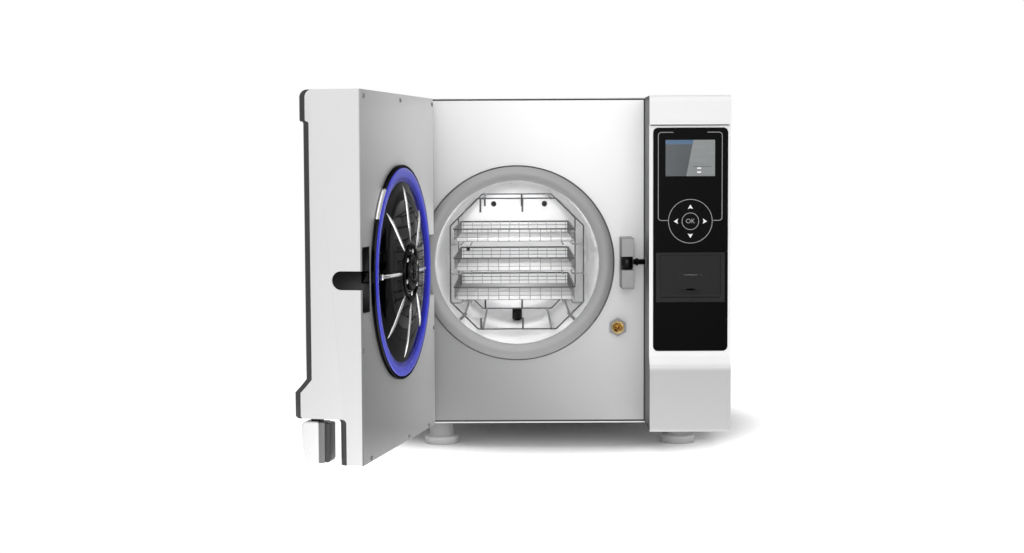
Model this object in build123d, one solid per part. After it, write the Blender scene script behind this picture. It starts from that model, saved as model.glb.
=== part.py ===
from build123d import *
from math import sqrt
import os

# Bench-top steam steriliser: casing, round pressure chamber, hinged door, control column
# Millimetres, +Z up, -Y towards the user
# The origin is on the bench, midway between the four feet
# Pieces are drawn from the chamber mouth: x from the chamber axis, y back from the front panel, z from the axis

# Driving dimensions
# Place of the chamber axis on the front panel
chamber_x = -65
panel_y = -285
chamber_z = 281

# General
fit = 0.3
run_fit = 0.05
sheet = 1.5

# Casing
case_above = 247
case_below = 242
case_depth = 570
case_round = 5
panel_inset = 1.5
panel_gap = 0.5
base_sheet = 2
base_lip = 15
flange_fold = 12

# Feet
foot_span_x = 365
foot_span_y = 450
foot_radius = 26
foot_disc = 13
stem_radius = 18.5

# Chamber
bore_radius = 123.5
vessel_wall = 2
vessel_depth = 450
vessel_round = 25
flange_width = 21.5
flange_proud = 6
flange_back = 16
flange_shadow = 1.6
band_thick = 3
band_width = 40
band_first_y = 80
band_pitch = 120
band_count = 3
jacket_thick = 14.7
jacket_front_y = 30
jacket_back_room = 5
dish_depth = 60
port_radius = 5
port_left_x = -40.3
port_right_x = 48.7
port_z = 79
probe_x = -85.3
probe_radius = 3
drain_from_back = 25
drain_hole = 6
strainer_radius = 8.5
strainer_height = 19

# Control column
column_width = 118
column_front = 89
column_cap_out = 6
column_chin_out = 13
column_wall = 2.5
cap_height = 42.5
cap_round = 10
chin_slope = 15
chin_start_z = -131.5
chin_under_z = -180
panel_left_margin = 6.2
panel_right_margin = 3.9
panel_top_z = 199.6
panel_bottom_z = -124.3
panel_thick = 2.6
panel_proud = 0.8
panel_corner = 7

# Display and keys
display_margin = 17.3
display_width = 72.2
display_top_z = 182.6
display_bottom_z = 129.6
display_depth = 9
key_margin = 59.8
key_centre_z = 64.6
key_ring_radius = 31
ok_radius = 12.6
key_gap = 0.4
key_proud = 0.7
key_thick = 4
key_travel = 0.6
key_board_thick = 1.6

# Printer
printer_margin = 9.9
printer_width = 100.2
printer_top_z = 19.3
printer_bottom_z = -53
printer_depth = 40
printer_wall = 2.5
printer_proud = 0.5
flap_side = 6.6
flap_top = 4
flap_bottom = 7
flap_thick = 2.4
flap_pin = 1.5
slit_width = 34
slit_height = 1.4
slit_z = -13.3
roll_radius = 15.5
roll_length = 58
roll_y = -69.5
roll_z = -16
spindle_radius = 5

# Hinge and latch
hinge_clear = 7.4
hinge_y = -46.75
door_open_angle = 101.55
hinge_pin_radius = 6
block_width = 18
hinge_block_height = 86
hinge_block_front = 58
lug_height = 14
latch_clear = 9
latch_z = 2
latch_height = 75
latch_gap = 20
latch_front = 62
latch_gap_back = 12
roller_radius = 9
roller_y = -34
roller_bore = 3
bolt_z = 3
bolt_radius = 4
bolt_travel = 10
bush_radius = 8.8

# Drain fitting
fitting_side = 11.8
fitting_z = -97.1
nut_flats = 24.2
nut_thick = 6
fitting_radius = 9.3
fitting_bore = 4
fitting_proud = 9

# Door
door_past_latch = 26.1
door_side_gap = 2.9
door_gap = 14
door_above = 245.5
door_below = 240
door_front = 92
door_cap_out = 5
door_chin_out = 15.5
door_low_front = 46
door_low_round = 6
door_wall = 3
inner_sheet = 1.5
slot_half = 12.2
slot_front = 54
pocket_to_left = 15.5
pocket_to_right = 22.8
pocket_half_z = 43
pocket_front = 74
liner_wall = 1.5
notch_side = 10.9
notch_half_z = 45
notch_front = 73
beam_front = 52
beam_thick = 8
beam_half_z = 34
beam_side = 13.4
beam_short = 51
screw_edge = 6.1

# Pressure lid
lid_past_flange = 3.5
lid_front = 8
lid_back = 13.7
gasket_short = 0.5
gasket_width = 13.5
gasket_front = 6.6
gasket_seat = 11
rib_count = 8
rib_inner = 40
rib_short = 10
rib_width = 10
hub_radius = 25
hub_tip = 8

# Latch hook
hook_travel = 16
hook_thick = 12
hook_front = 62
hook_tip_gap = 13.2
hook_post_gap = 32
guide_width = 28
guide_gap = 25
guide_wall = 6
hook_tip_back = 16.5
hook_tip_front = 24.5

# Door handle
handle_width = 28
handle_front = 99
handle_back = 58
handle_top_z = -183.5
handle_bottom_z = -239
handle_pin_y = -80
handle_pin_z = -169
handle_pin_radius = 2.5
handle_tang = 16

# Rack and trays
wire = 3
rack_room = 21.5
rack_raise = 4
rack_drop = 0.5
rack_corner = 42
rack_front_y = 20
rack_back_room = 40
rack_rail_x = 52
hanger_side = 31
hanger_shift = -21
hanger_length = 13
runner_inset = 9
tray_pitch = 44.3
tray_low_z = -59.5
tray_room = 9
tray_shift = -4
tray_front_y = 30
tray_short = 33
tray_wall = 1.2
tray_height = 20
tray_count = 3
tray_rim = 3
tray_window = 13
tray_side_window = 24
tray_rib = 2.5
tray_slot_x = 12
tray_slot_y = 28

# Tanks and inner units
tank_side_room = 10.5
clean_tank_width = 235
tank_front_y = 60
tank_back_room = 30
tank_above_jacket = 8.5
tank_wall = 2.5
tank_gap = 20
filler_x = -60
filler_from_back = 100
filler_half = 45
lid_rim = 8
lid_plate_thick = 4
ear_wide = 6
ear_spread = 30
ear_radius = 4
lid_pin_radius = 3
plug_depth = 6
lid_swing_room = 1.5
waste_side_room = 13.5
fan_size = 92
fan_thick = 25
fan_side = 84
fan_z = 60
fan_blades = 7
fan_hub = 18
guard_wire = 2
valve_x = -60
valve_z = 110
inlet_z = -190
switch_z = -150
switch_pin = 1.5
socket_length = 24
pipe_radius = 4
pipe_bend = 12
pipe_turn = 22
pipe_level_z = 20
pipe_low_z = -130

# Units on the base plate and beside the column
generator_radius = 34
generator_height = 150
generator_rim = 8
generator_neck = 10
generator_from_right = 68.5
generator_y = 120
pump_radius = 42
pump_head_half = 40
pump_height = 92
pump_from_right = 73.5
pump_front_y = 230
pump_length = 110
pump_head_length = 60
water_radius = 20
water_head = 46
water_from_left = 25.5
water_front_y = 60
water_length = 70
manifold_half = 19
manifold_height = 30
manifold_from_left = 21.5
manifold_front_y = 200
manifold_length = 130
coil_radius = 11
coil_height = 42
coil_pitch = 32
coil_count = 4
board_from_right = 12
board_front_y = 60
board_length = 200
board_low_z = -80
board_high_z = 130
supply_deep = 50
supply_front_y = 420
supply_length = 100
supply_low_z = -100
supply_high_z = -10

# Places that follow from the sizes above
flange_radius = bore_radius + flange_width
latch_x = flange_radius + latch_clear + block_width / 2
hinge_x = -(flange_radius + hinge_clear + block_width / 2)
door_half = latch_x + door_past_latch
case_left = door_half + door_side_gap
column_left = door_half + door_side_gap
case_right = column_left + column_width
right_inner = case_right - sheet
left_inner = -case_left + sheet
back_inner = case_depth - sheet
base_top = -case_below + base_sheet
panel_low = base_top + panel_gap
panel_high = case_above - sheet - panel_gap
foot_left_x = -foot_span_x / 2 - chamber_x
foot_front_y = -foot_span_y / 2 - panel_y
vessel_outer = bore_radius + vessel_wall
vessel_end = vessel_depth + vessel_wall
jacket_inner = vessel_outer + band_thick + fit
jacket_outer = jacket_inner + jacket_thick
jacket_back_y = vessel_depth - jacket_back_room
drain_y = vessel_depth - drain_from_back
panel_left_x = column_left + panel_left_margin
panel_right_x = case_right - panel_right_margin
display_left_x = panel_left_x + display_margin
display_right_x = display_left_x + display_width
key_centre_x = column_left + key_margin
printer_left_x = column_left + printer_margin
printer_right_x = printer_left_x + printer_width
fitting_x = latch_x - fitting_side
door_inner_front = door_gap + inner_sheet
pocket_left_x = latch_x - pocket_to_left
pocket_right_x = latch_x + pocket_to_right
notch_right_x = hinge_x + notch_side
beam_left_x = hinge_x + beam_side
beam_right_x = latch_x - beam_short
lid_radius = flange_radius + lid_past_flange
gasket_outer = flange_radius - gasket_short
gasket_inner = gasket_outer - gasket_width
rib_outer = gasket_inner - rib_short
rack_half = bore_radius - rack_room
rack_top_z = rack_half - rack_raise
rack_bottom_z = -rack_half - rack_drop
rack_length = vessel_depth - rack_front_y - rack_back_room
tray_half = rack_half - tray_room
tray_length = rack_length - tray_short
runner_x = tray_half - runner_inset
tank_left_x = left_inner + tank_side_room
tank_right_x = tank_left_x + clean_tank_width
waste_right_x = right_inner - waste_side_room
tank_back_y = case_depth - tank_back_room
tank_bottom_z = jacket_outer + tank_above_jacket
filler_y = tank_back_y - filler_from_back
lid_hinge_y = filler_y + filler_half + lid_rim
lid_hinge_z = case_above + fit + lid_pin_radius
fan_x = case_right - fan_side
inlet_x = fan_x
socket_end = vessel_end + socket_length


# Shape helpers

def block(x0, x1, y0, y1, z0, z1):
    """Box between two corners."""
    centre = Pos((x0 + x1) / 2, (y0 + y1) / 2, (z0 + z1) / 2)
    return centre * Box(abs(x1 - x0), abs(y1 - y0), abs(z1 - z0))


def prism_x(outline, x0, x1):
    """Outline drawn in y and z, run from x0 to x1."""
    return extrude(Plane.YZ.offset(x0) * outline, x1 - x0)


def prism_y(outline, y0, y1):
    """Outline drawn in x and z, run from y0 to y1."""
    return extrude(Plane.XZ.offset(-y1) * outline, y1 - y0)


def prism_z(outline, z0, z1):
    """Outline drawn in x and y, run from z0 to z1."""
    return extrude(Plane.XY.offset(z0) * outline, z1 - z0)


def rod_x(radius, x0, x1, y, z):
    return prism_x(Pos(y, z) * Circle(radius), x0, x1)


def rod_y(radius, y0, y1, x, z):
    return prism_y(Pos(x, z) * Circle(radius), y0, y1)


def rod_z(radius, z0, z1, x, y):
    return prism_z(Pos(x, y) * Circle(radius), z0, z1)


def ring_y(outer, inner, y0, y1, x=0, z=0):
    return prism_y(Pos(x, z) * (Circle(outer) - Circle(inner)), y0, y1)


def area(x0, x1, z0, z1, corner=0):
    """Flat rectangle between two corners, for the prism helpers."""
    width, height = abs(x1 - x0), abs(z1 - z0)
    shape = RectangleRounded(width, height, corner) if corner else Rectangle(width, height)
    return Pos((x0 + x1) / 2, (z0 + z1) / 2) * shape


def outline(*points):
    """Flat shape through the points, taken anticlockwise so that it always runs the same way."""
    turn = sum(a[0] * b[1] - b[0] * a[1] for a, b in zip(points, points[1:] + points[:1]))
    return Polygon(*(points if turn > 0 else points[::-1]), align=None)


pieces = {}


def keep(name, *solids, door=False):
    """Hold a node's solids; door pieces are drawn shut and swung open here."""
    moved = []
    for solid in solids:
        if door:
            hinge = Axis((hinge_x, hinge_y, 0), (0, 0, 1))
            solid = solid.rotate(hinge, -door_open_angle)
        moved.extend(Pos(chamber_x, panel_y, chamber_z) * one for one in solid.solids())
    pieces[name] = moved


# Casing

def ear_places():
    """Left edges of the two ears that carry the tank lid."""
    return (filler_x - ear_spread - fit - ear_wide, filler_x + ear_spread + fit)


def make_casing():
    mid_x = (case_right - case_left) / 2
    mid_z = (case_above - case_below) / 2
    width, height = case_left + case_right, case_above + case_below
    hood = Pos(mid_x, mid_z) * RectangleRounded(width, height, case_round)
    hood += area(-case_left, case_right, -case_below, 0)
    hollow = Pos(mid_x, mid_z) * RectangleRounded(width - 2 * sheet, height - 2 * sheet, case_round - sheet)
    hollow += area(left_inner, right_inner, -case_below, 0)
    cover = prism_y(hood, -panel_inset, case_depth) - prism_y(hollow, -panel_inset, case_depth)
    cover -= block(left_inner, right_inner, -panel_inset, case_depth, -case_below - 1, 0)
    cover -= block(filler_x - filler_half, filler_x + filler_half, filler_y - filler_half,
                   filler_y + filler_half, case_above - 2 * sheet, case_above + 1)
    vent_length, vent_height, vent_pitch, vent_count = 70, 4, 12, 8
    for row in range(vent_count):
        z = -case_below + 60 + row * vent_pitch
        cover -= block(-case_left - 1, case_right + 1, case_depth - 130, case_depth - 130 + vent_length,
                       z, z + vent_height)
    for x in ear_places():
        cover += block(x, x + ear_wide, lid_hinge_y - ear_radius, lid_hinge_y + ear_radius,
                       case_above - fit, lid_hinge_z)
        cover += rod_x(ear_radius, x, x + ear_wide, lid_hinge_y, lid_hinge_z)
    cover -= rod_x(lid_pin_radius + run_fit, filler_x - filler_half, filler_x + filler_half, lid_hinge_y, lid_hinge_z)
    keep("housing_cover", cover)

    base = block(left_inner + fit, right_inner - fit, -panel_inset, back_inner - fit, -case_below, base_top)
    lip = block(left_inner + fit, right_inner - fit, sheet + fit, back_inner - fit, base_top, base_top + base_lip)
    lip -= block(left_inner + fit + base_sheet, right_inner - fit - base_sheet, 0, back_inner - fit - base_sheet,
                 base_top, base_top + base_lip)
    keep("base_plate", base + lip)

    rear_face = area(left_inner + fit, right_inner - fit, base_top + fit, case_above - sheet - fit,
                     case_round - sheet)
    rear = prism_y(rear_face, back_inner, case_depth)
    rear -= rod_y(fan_size / 2 - 4, back_inner - 1, case_depth + 1, fan_x, fan_z)
    for row in range(10):
        z = -60 + row * 14
        rear -= block(-120, 40, back_inner - 1, case_depth + 1, z, z + 5)
    rear -= block(inlet_x - 24.5, inlet_x + 24.5, back_inner - 1, case_depth + 1, inlet_z - 14.5, inlet_z + 14.5)
    rear -= block(inlet_x - 15, inlet_x + 15, back_inner - 1, case_depth + 1, switch_z - 11.5, switch_z + 11.5)
    rear -= rod_y(9, back_inner - 1, case_depth + 1, valve_x, valve_z)
    rear += ring_y(fan_size / 2 + 2, fan_size / 2 - 4, case_depth, case_depth + guard_wire, fan_x, fan_z)
    for index in range(1, 4):
        radius = index * fan_size / 9
        rear += ring_y(radius + guard_wire / 2, radius - guard_wire / 2, case_depth, case_depth + guard_wire,
                       fan_x, fan_z)
    for turn in range(4):
        spoke = Pos(fan_x, fan_z) * Rot(0, 0, 45 * turn) * Rectangle(fan_size - 4, guard_wire)
        rear += prism_y(spoke, case_depth, case_depth + guard_wire)
    keep("rear_panel", rear)

    left, right, bend = left_inner + panel_gap, right_inner - panel_gap, case_round - sheet
    front = prism_y(area(left, right, panel_low, panel_high, bend), 0, sheet)
    fold_low, fold_high = base_top + base_lip + fit, panel_high - bend
    fold_end = sheet + flange_fold
    folds = [block(left, left + sheet, sheet, fold_end, fold_low, fold_high),
             block(right - sheet, right, sheet, fold_end, fold_low, fold_high),
             block(left + bend, right - bend, sheet, fold_end, panel_high - sheet, panel_high)]
    front -= rod_y(flange_radius + flange_shadow, -1, sheet + 1, 0, 0)
    front -= rod_y(fitting_radius + fit, -1, sheet + 1, fitting_x, fitting_z)
    front -= block(column_left + 12, case_right - 14, -1, sheet + 1, -case_below + 30, case_above - 30)
    keep("front_panel", front, *folds)


# Feet

def make_feet():
    feet = []
    for x in (foot_left_x, foot_left_x + foot_span_x):
        for y in (foot_front_y, foot_front_y + foot_span_y):
            disc = rod_z(foot_radius, -chamber_z, -chamber_z + foot_disc, x, y)
            disc = chamfer(disc.edges().sort_by(Axis.Z)[-1], 2)
            feet.append(disc + rod_z(stem_radius, -chamber_z + foot_disc, -case_below, x, y))
    keep("levelling_feet", *feet)


# Pressure chamber

def make_chamber():
    weld_y = vessel_depth - dish_depth
    barrel = ring_y(vessel_outer, bore_radius, flange_back, weld_y)
    outer = rod_y(vessel_outer, weld_y, vessel_end, 0, 0)
    outer = fillet(outer.edges().sort_by(Axis.Y)[-1], vessel_round + vessel_wall)
    inner = rod_y(bore_radius, weld_y, vessel_depth, 0, 0)
    inner = fillet(inner.edges().sort_by(Axis.Y)[-1], vessel_round)
    dish = outer - inner
    for x in (port_left_x, port_right_x):
        dish -= rod_y(port_radius, vessel_depth - 1, vessel_end + 1, x, port_z)
    dish -= rod_y(probe_radius + fit, vessel_depth - 1, vessel_end + 1, probe_x, 0)
    dish -= rod_z(drain_hole, -vessel_outer - 2, -bore_radius + 4, 0, drain_y)
    keep("pressure_chamber", barrel, dish)

    flange = ring_y(flange_radius, bore_radius, -flange_proud, flange_back)
    flange = chamfer(flange.edges().group_by(Axis.Y)[0], 0.8)
    keep("chamber_flange", flange)

    bands = []
    for index in range(band_count):
        y = band_first_y + index * band_pitch
        bands.append(ring_y(vessel_outer + band_thick, vessel_outer + run_fit, y, y + band_width))
    keep("heater_bands", *bands)

    jacket = ring_y(jacket_outer, jacket_inner, jacket_front_y, jacket_back_y)
    jacket -= rod_z(14, -jacket_outer - 2, -jacket_inner + 6, 0, drain_y)
    keep("insulation_jacket", jacket)

    cradles = []
    for y in (120, 330):
        stand = block(-95, 95, y, y + 30, base_top, -95) - rod_y(jacket_outer + fit, y - 1, y + 31, 0, 0)
        stand -= block(-70, 70, y + 4, y + 26, base_top - 1, -jacket_outer - 15)
        cradles.append(stand)
    for y in (tank_front_y + 30, tank_back_y - 50):
        cradles.append(block(left_inner + fit, right_inner - fit, y, y + 20,
                             tank_bottom_z - 3 - fit, tank_bottom_z - fit))
    keep("inner_supports", *cradles)

    floor = -bore_radius + 2
    strainer = rod_z(strainer_radius, floor, floor + strainer_height, 0, drain_y)
    strainer += rod_z(drain_hole - fit, -vessel_outer - 1, floor, 0, drain_y)
    for index in range(6):
        slot = Rot(0, 0, 30 * index) * Box(2 * strainer_radius + 2, 1.6, strainer_height - 8)
        strainer -= Pos(0, drain_y, floor + strainer_height / 2) * slot
    strainer += rod_z(strainer_radius - 2, floor, floor + strainer_height - 2, 0, drain_y)
    keep("drain_strainer", strainer)


# Control column

def column_outline(back):
    """Side view of the column from y and z points; back is where the outline closes."""
    cap_y = -column_front - column_cap_out
    chin_y = -column_front - column_chin_out
    top_z = case_above - fit
    low_z = -case_below
    cap_z = case_above - cap_height
    shape = outline(
        (back, top_z), (cap_y, top_z), (cap_y, cap_z), (-column_front, cap_z),
        (-column_front, chin_start_z), (chin_y, chin_start_z - chin_slope), (chin_y, low_z + 4),
        (chin_y + 4, low_z), (back, low_z))
    corner = shape.vertices().sort_by_distance((cap_y, top_z, 0))[0]
    return fillet(corner, cap_round)


def make_column():
    shell = prism_x(column_outline(-panel_inset - fit), column_left, case_right)
    hollow = offset(column_outline(30), -column_wall, kind=Kind.INTERSECTION)
    shell -= prism_x(hollow, column_left + column_wall, case_right - column_wall)
    window = area(panel_left_x - fit, panel_right_x + fit, panel_bottom_z - fit, panel_top_z + fit, panel_corner)
    shell -= prism_y(window, -column_front - 1, -column_front + column_wall + 1)
    shell -= rod_x(bush_radius - 2, column_left - 1, column_left + column_wall + 1, roller_y, bolt_z)
    keep("column_shell", shell)

    face_y = -column_front - panel_proud
    plate = prism_y(area(panel_left_x, panel_right_x, panel_bottom_z, panel_top_z, panel_corner),
                    face_y, face_y + panel_thick)
    plate -= prism_y(area(display_left_x, display_right_x, display_bottom_z, display_top_z), face_y - 1, face_y + 9)
    plate -= rod_y(key_ring_radius + key_gap, face_y - 1, face_y + 9, key_centre_x, key_centre_z)
    plate -= prism_y(area(printer_left_x - fit, printer_right_x + fit, printer_bottom_z - fit,
                          printer_top_z + fit), face_y - 1, face_y + 9)
    keep("control_panel", plate)

    back_y = face_y + panel_thick
    border = 5
    screen = block(display_left_x - border, display_right_x + border, back_y, back_y + display_depth,
                   display_bottom_z - border, display_top_z + border)
    screen += block(display_left_x + fit, display_right_x - fit, face_y + 0.8, back_y,
                    display_bottom_z + fit, display_top_z - fit)
    key_y = face_y - key_proud
    board_y = key_y + key_thick + key_travel + fit
    keep("ok_key", rod_y(ok_radius, key_y, key_y + key_thick, key_centre_x, key_centre_z))
    ring = Circle(key_ring_radius) - Circle(ok_radius + key_gap)
    names = ("right_key", "up_key", "left_key", "down_key")
    for index, name in enumerate(names):
        reach = 2 * key_ring_radius
        wedge = outline((key_gap, 0), (reach, reach - key_gap), (reach, -reach + key_gap))
        sector = Pos(key_centre_x, key_centre_z) * (Rot(0, 0, 90 * index) * (ring & wedge))
        keep(name, prism_y(sector, key_y, key_y + key_thick))
    board = block(panel_left_x + 12, panel_right_x - 12, board_y, board_y + key_board_thick,
                  key_centre_z - key_ring_radius - 8, key_centre_z + key_ring_radius + 8)
    posts = []
    for x in (panel_left_x + 16, panel_right_x - 16):
        for z in (key_centre_z - key_ring_radius - 4, key_centre_z + key_ring_radius + 4):
            posts.append(rod_y(3, back_y, board_y, x, z))
    for post in posts:
        board += post
    keep("display_module", screen, board)


# Printer in the column

def make_printer():
    face_y = -column_front - panel_proud - printer_proud
    back_y = face_y + printer_depth
    house = block(printer_left_x, printer_right_x, face_y, back_y, printer_bottom_z, printer_top_z)
    left, right = printer_left_x + flap_side, printer_right_x - flap_side
    low, high = printer_bottom_z + flap_bottom, printer_top_z - flap_top
    house -= block(left - fit, right + fit, face_y - 1, face_y + flap_thick + 3, low - 2 * fit, high + fit)
    house -= block(left + 4, right - 4, face_y, back_y - printer_wall, low + 1, high - 2)
    pin_y = face_y + flap_thick / 2 + 0.4
    pin_z = low + flap_pin + 1
    for x0, x1 in ((left - 4, left), (right, right + 4)):
        house -= rod_x(flap_pin + run_fit, x0, x1, pin_y, pin_z)
    spindle = rod_x(spindle_radius, left + 4, right - 4, roll_y, roll_z)
    keep("printer_housing", house + spindle)

    flap = block(left, right, face_y + 0.4, face_y + 0.4 + flap_thick, low, high)
    rounded = rod_x(flap_thick / 2, left, right, pin_y, pin_z)
    flap += rounded
    flap += rod_x(flap_pin, left - 3.5, right + 3.5, pin_y, pin_z)
    middle = (left + right) / 2
    flap -= block(middle - slit_width / 2, middle + slit_width / 2, face_y - 1, face_y + 6,
                  slit_z - slit_height / 2, slit_z + slit_height / 2)
    flap -= rod_z(8, low + 10, low + 12.5, middle, face_y - 4)
    lip_z = low + 10
    flap += block(middle - 11, middle + 11, face_y - 1.2, face_y + 0.4, lip_z - 1.6, lip_z)
    keep("printer_flap", flap)

    centre = (printer_left_x + printer_right_x) / 2
    roll = rod_x(roll_radius, centre - roll_length / 2, centre + roll_length / 2, roll_y, roll_z)
    roll -= rod_x(spindle_radius + run_fit, left, right, roll_y, roll_z)
    keep("paper_roll", roll)


# Hinge block, latch block and lock bolt

def make_hinge_and_latch():
    half = hinge_block_height / 2
    stem = block(hinge_x - block_width / 2, hinge_x + block_width / 2, -hinge_block_front, 0, -half, half)
    stem = fillet(stem.edges().filter_by(Axis.Z).group_by(Axis.Y)[0], 6)
    stem -= rod_z(hinge_pin_radius + run_fit, -half - 1, half + 1, hinge_x, hinge_y)
    keep("hinge_block", stem)
    lug_end = half + fit + lug_height + fit
    pin = rod_z(hinge_pin_radius, -lug_end, lug_end, hinge_x, hinge_y)
    pin += rod_z(hinge_pin_radius + 3, lug_end, lug_end + 3, hinge_x, hinge_y)
    pin += rod_z(hinge_pin_radius + 3, -lug_end - 3, -lug_end, hinge_x, hinge_y)
    keep("hinge_pin", pin)

    low, high = latch_z - latch_height / 2, latch_z + latch_height / 2
    left, right = latch_x - block_width / 2, latch_x + block_width / 2
    latch = block(left, right, -latch_front, 0, low, high)
    latch -= block(left - 1, right + 1, -latch_front - 1, -latch_gap_back,
                   latch_z - latch_gap / 2, latch_z + latch_gap / 2)
    latch -= rod_z(roller_bore + run_fit, low + 10, high - 10, latch_x, roller_y)
    latch = chamfer(latch.edges().filter_by(Axis.X).group_by(Axis.Y)[0].sort_by(Axis.Z)[0], 2)
    latch = chamfer(latch.edges().filter_by(Axis.X).group_by(Axis.Y)[0].sort_by(Axis.Z)[-1], 2)
    keep("latch_block", latch, rod_z(roller_bore, low + 10, high - 10, latch_x, roller_y))
    reach = latch_gap / 2 - fit
    roller = rod_z(roller_radius, latch_z - reach, latch_z + reach, latch_x, roller_y)
    roller = chamfer(roller.edges().filter_by(GeomType.CIRCLE), 1)
    roller -= rod_z(roller_bore + run_fit, latch_z - 30, latch_z + 30, latch_x, roller_y)
    keep("latch_roller", roller)

    tip = latch_x + roller_radius + 0.6
    bolt = rod_x(bolt_radius, tip, column_left + 32 + bolt_travel, roller_y, bolt_z)
    bolt += rod_x(bolt_radius + 1.6, tip + 3.5, tip + 7, roller_y, bolt_z)
    keep("lock_bolt", bolt)
    bush = rod_x(bush_radius, column_left - 1.6, column_left, roller_y, bolt_z)
    bush += rod_x(bush_radius - 2.2, column_left, column_left + 12, roller_y, bolt_z)
    bush -= rod_x(bolt_radius + run_fit, column_left - 3, column_left + 14, roller_y, bolt_z)
    coil_x = column_left + 14
    coil = block(coil_x, coil_x + 45, roller_y - 14, roller_y + 14, bolt_z - 14, bolt_z + 14)
    coil -= rod_x(bolt_radius + run_fit, coil_x - 1, coil_x + 32 + bolt_travel, roller_y, bolt_z)
    coil += block(coil_x + 6, coil_x + 40, roller_y + 14, -fit, bolt_z - 10, bolt_z + 10)
    coil -= block(coil_x, coil_x + 50, -fit, 2, bolt_z - 20, bolt_z + 20)
    keep("lock_actuator", bush, coil)


# Water drain fitting on the front panel

def make_drain_fitting():
    hexagon = Pos(fitting_x, fitting_z) * RegularPolygon(nut_flats / 2, 6, major_radius=False, rotation=30)
    nut = prism_y(hexagon, -nut_thick, 0)
    nut -= rod_y(fitting_radius + run_fit, -nut_thick - 1, 1, fitting_x, fitting_z)
    keep("drain_nut", nut)
    body = rod_y(fitting_radius, -fitting_proud, 24, fitting_x, fitting_z)
    body -= rod_y(fitting_radius - 2.6, -fitting_proud - 1, -fitting_proud + 2, fitting_x, fitting_z)
    body -= rod_y(fitting_bore, -fitting_proud - 1, 14, fitting_x, fitting_z)
    keep("drain_fitting", body)


# Door

def door_outline(back):
    """Side view of the door, with its cap, its recessed front, its chin and its thin foot."""
    cap_y = -door_front - door_cap_out
    chin_y = -door_front - door_chin_out
    shape = outline(
        (back, door_above), (cap_y, door_above), (cap_y, case_above - cap_height),
        (-door_front, case_above - cap_height), (-door_front, chin_start_z),
        (chin_y, chin_start_z - chin_slope), (chin_y, chin_under_z),
        (-door_low_front, chin_under_z), (-door_low_front, -door_below), (back, -door_below))
    top = shape.vertices().sort_by_distance((cap_y, door_above, 0))[0]
    shape = fillet(top, cap_round)
    corner = shape.vertices().sort_by_distance((-door_low_front, chin_under_z, 0))[0]
    return fillet(corner, door_low_round)


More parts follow.
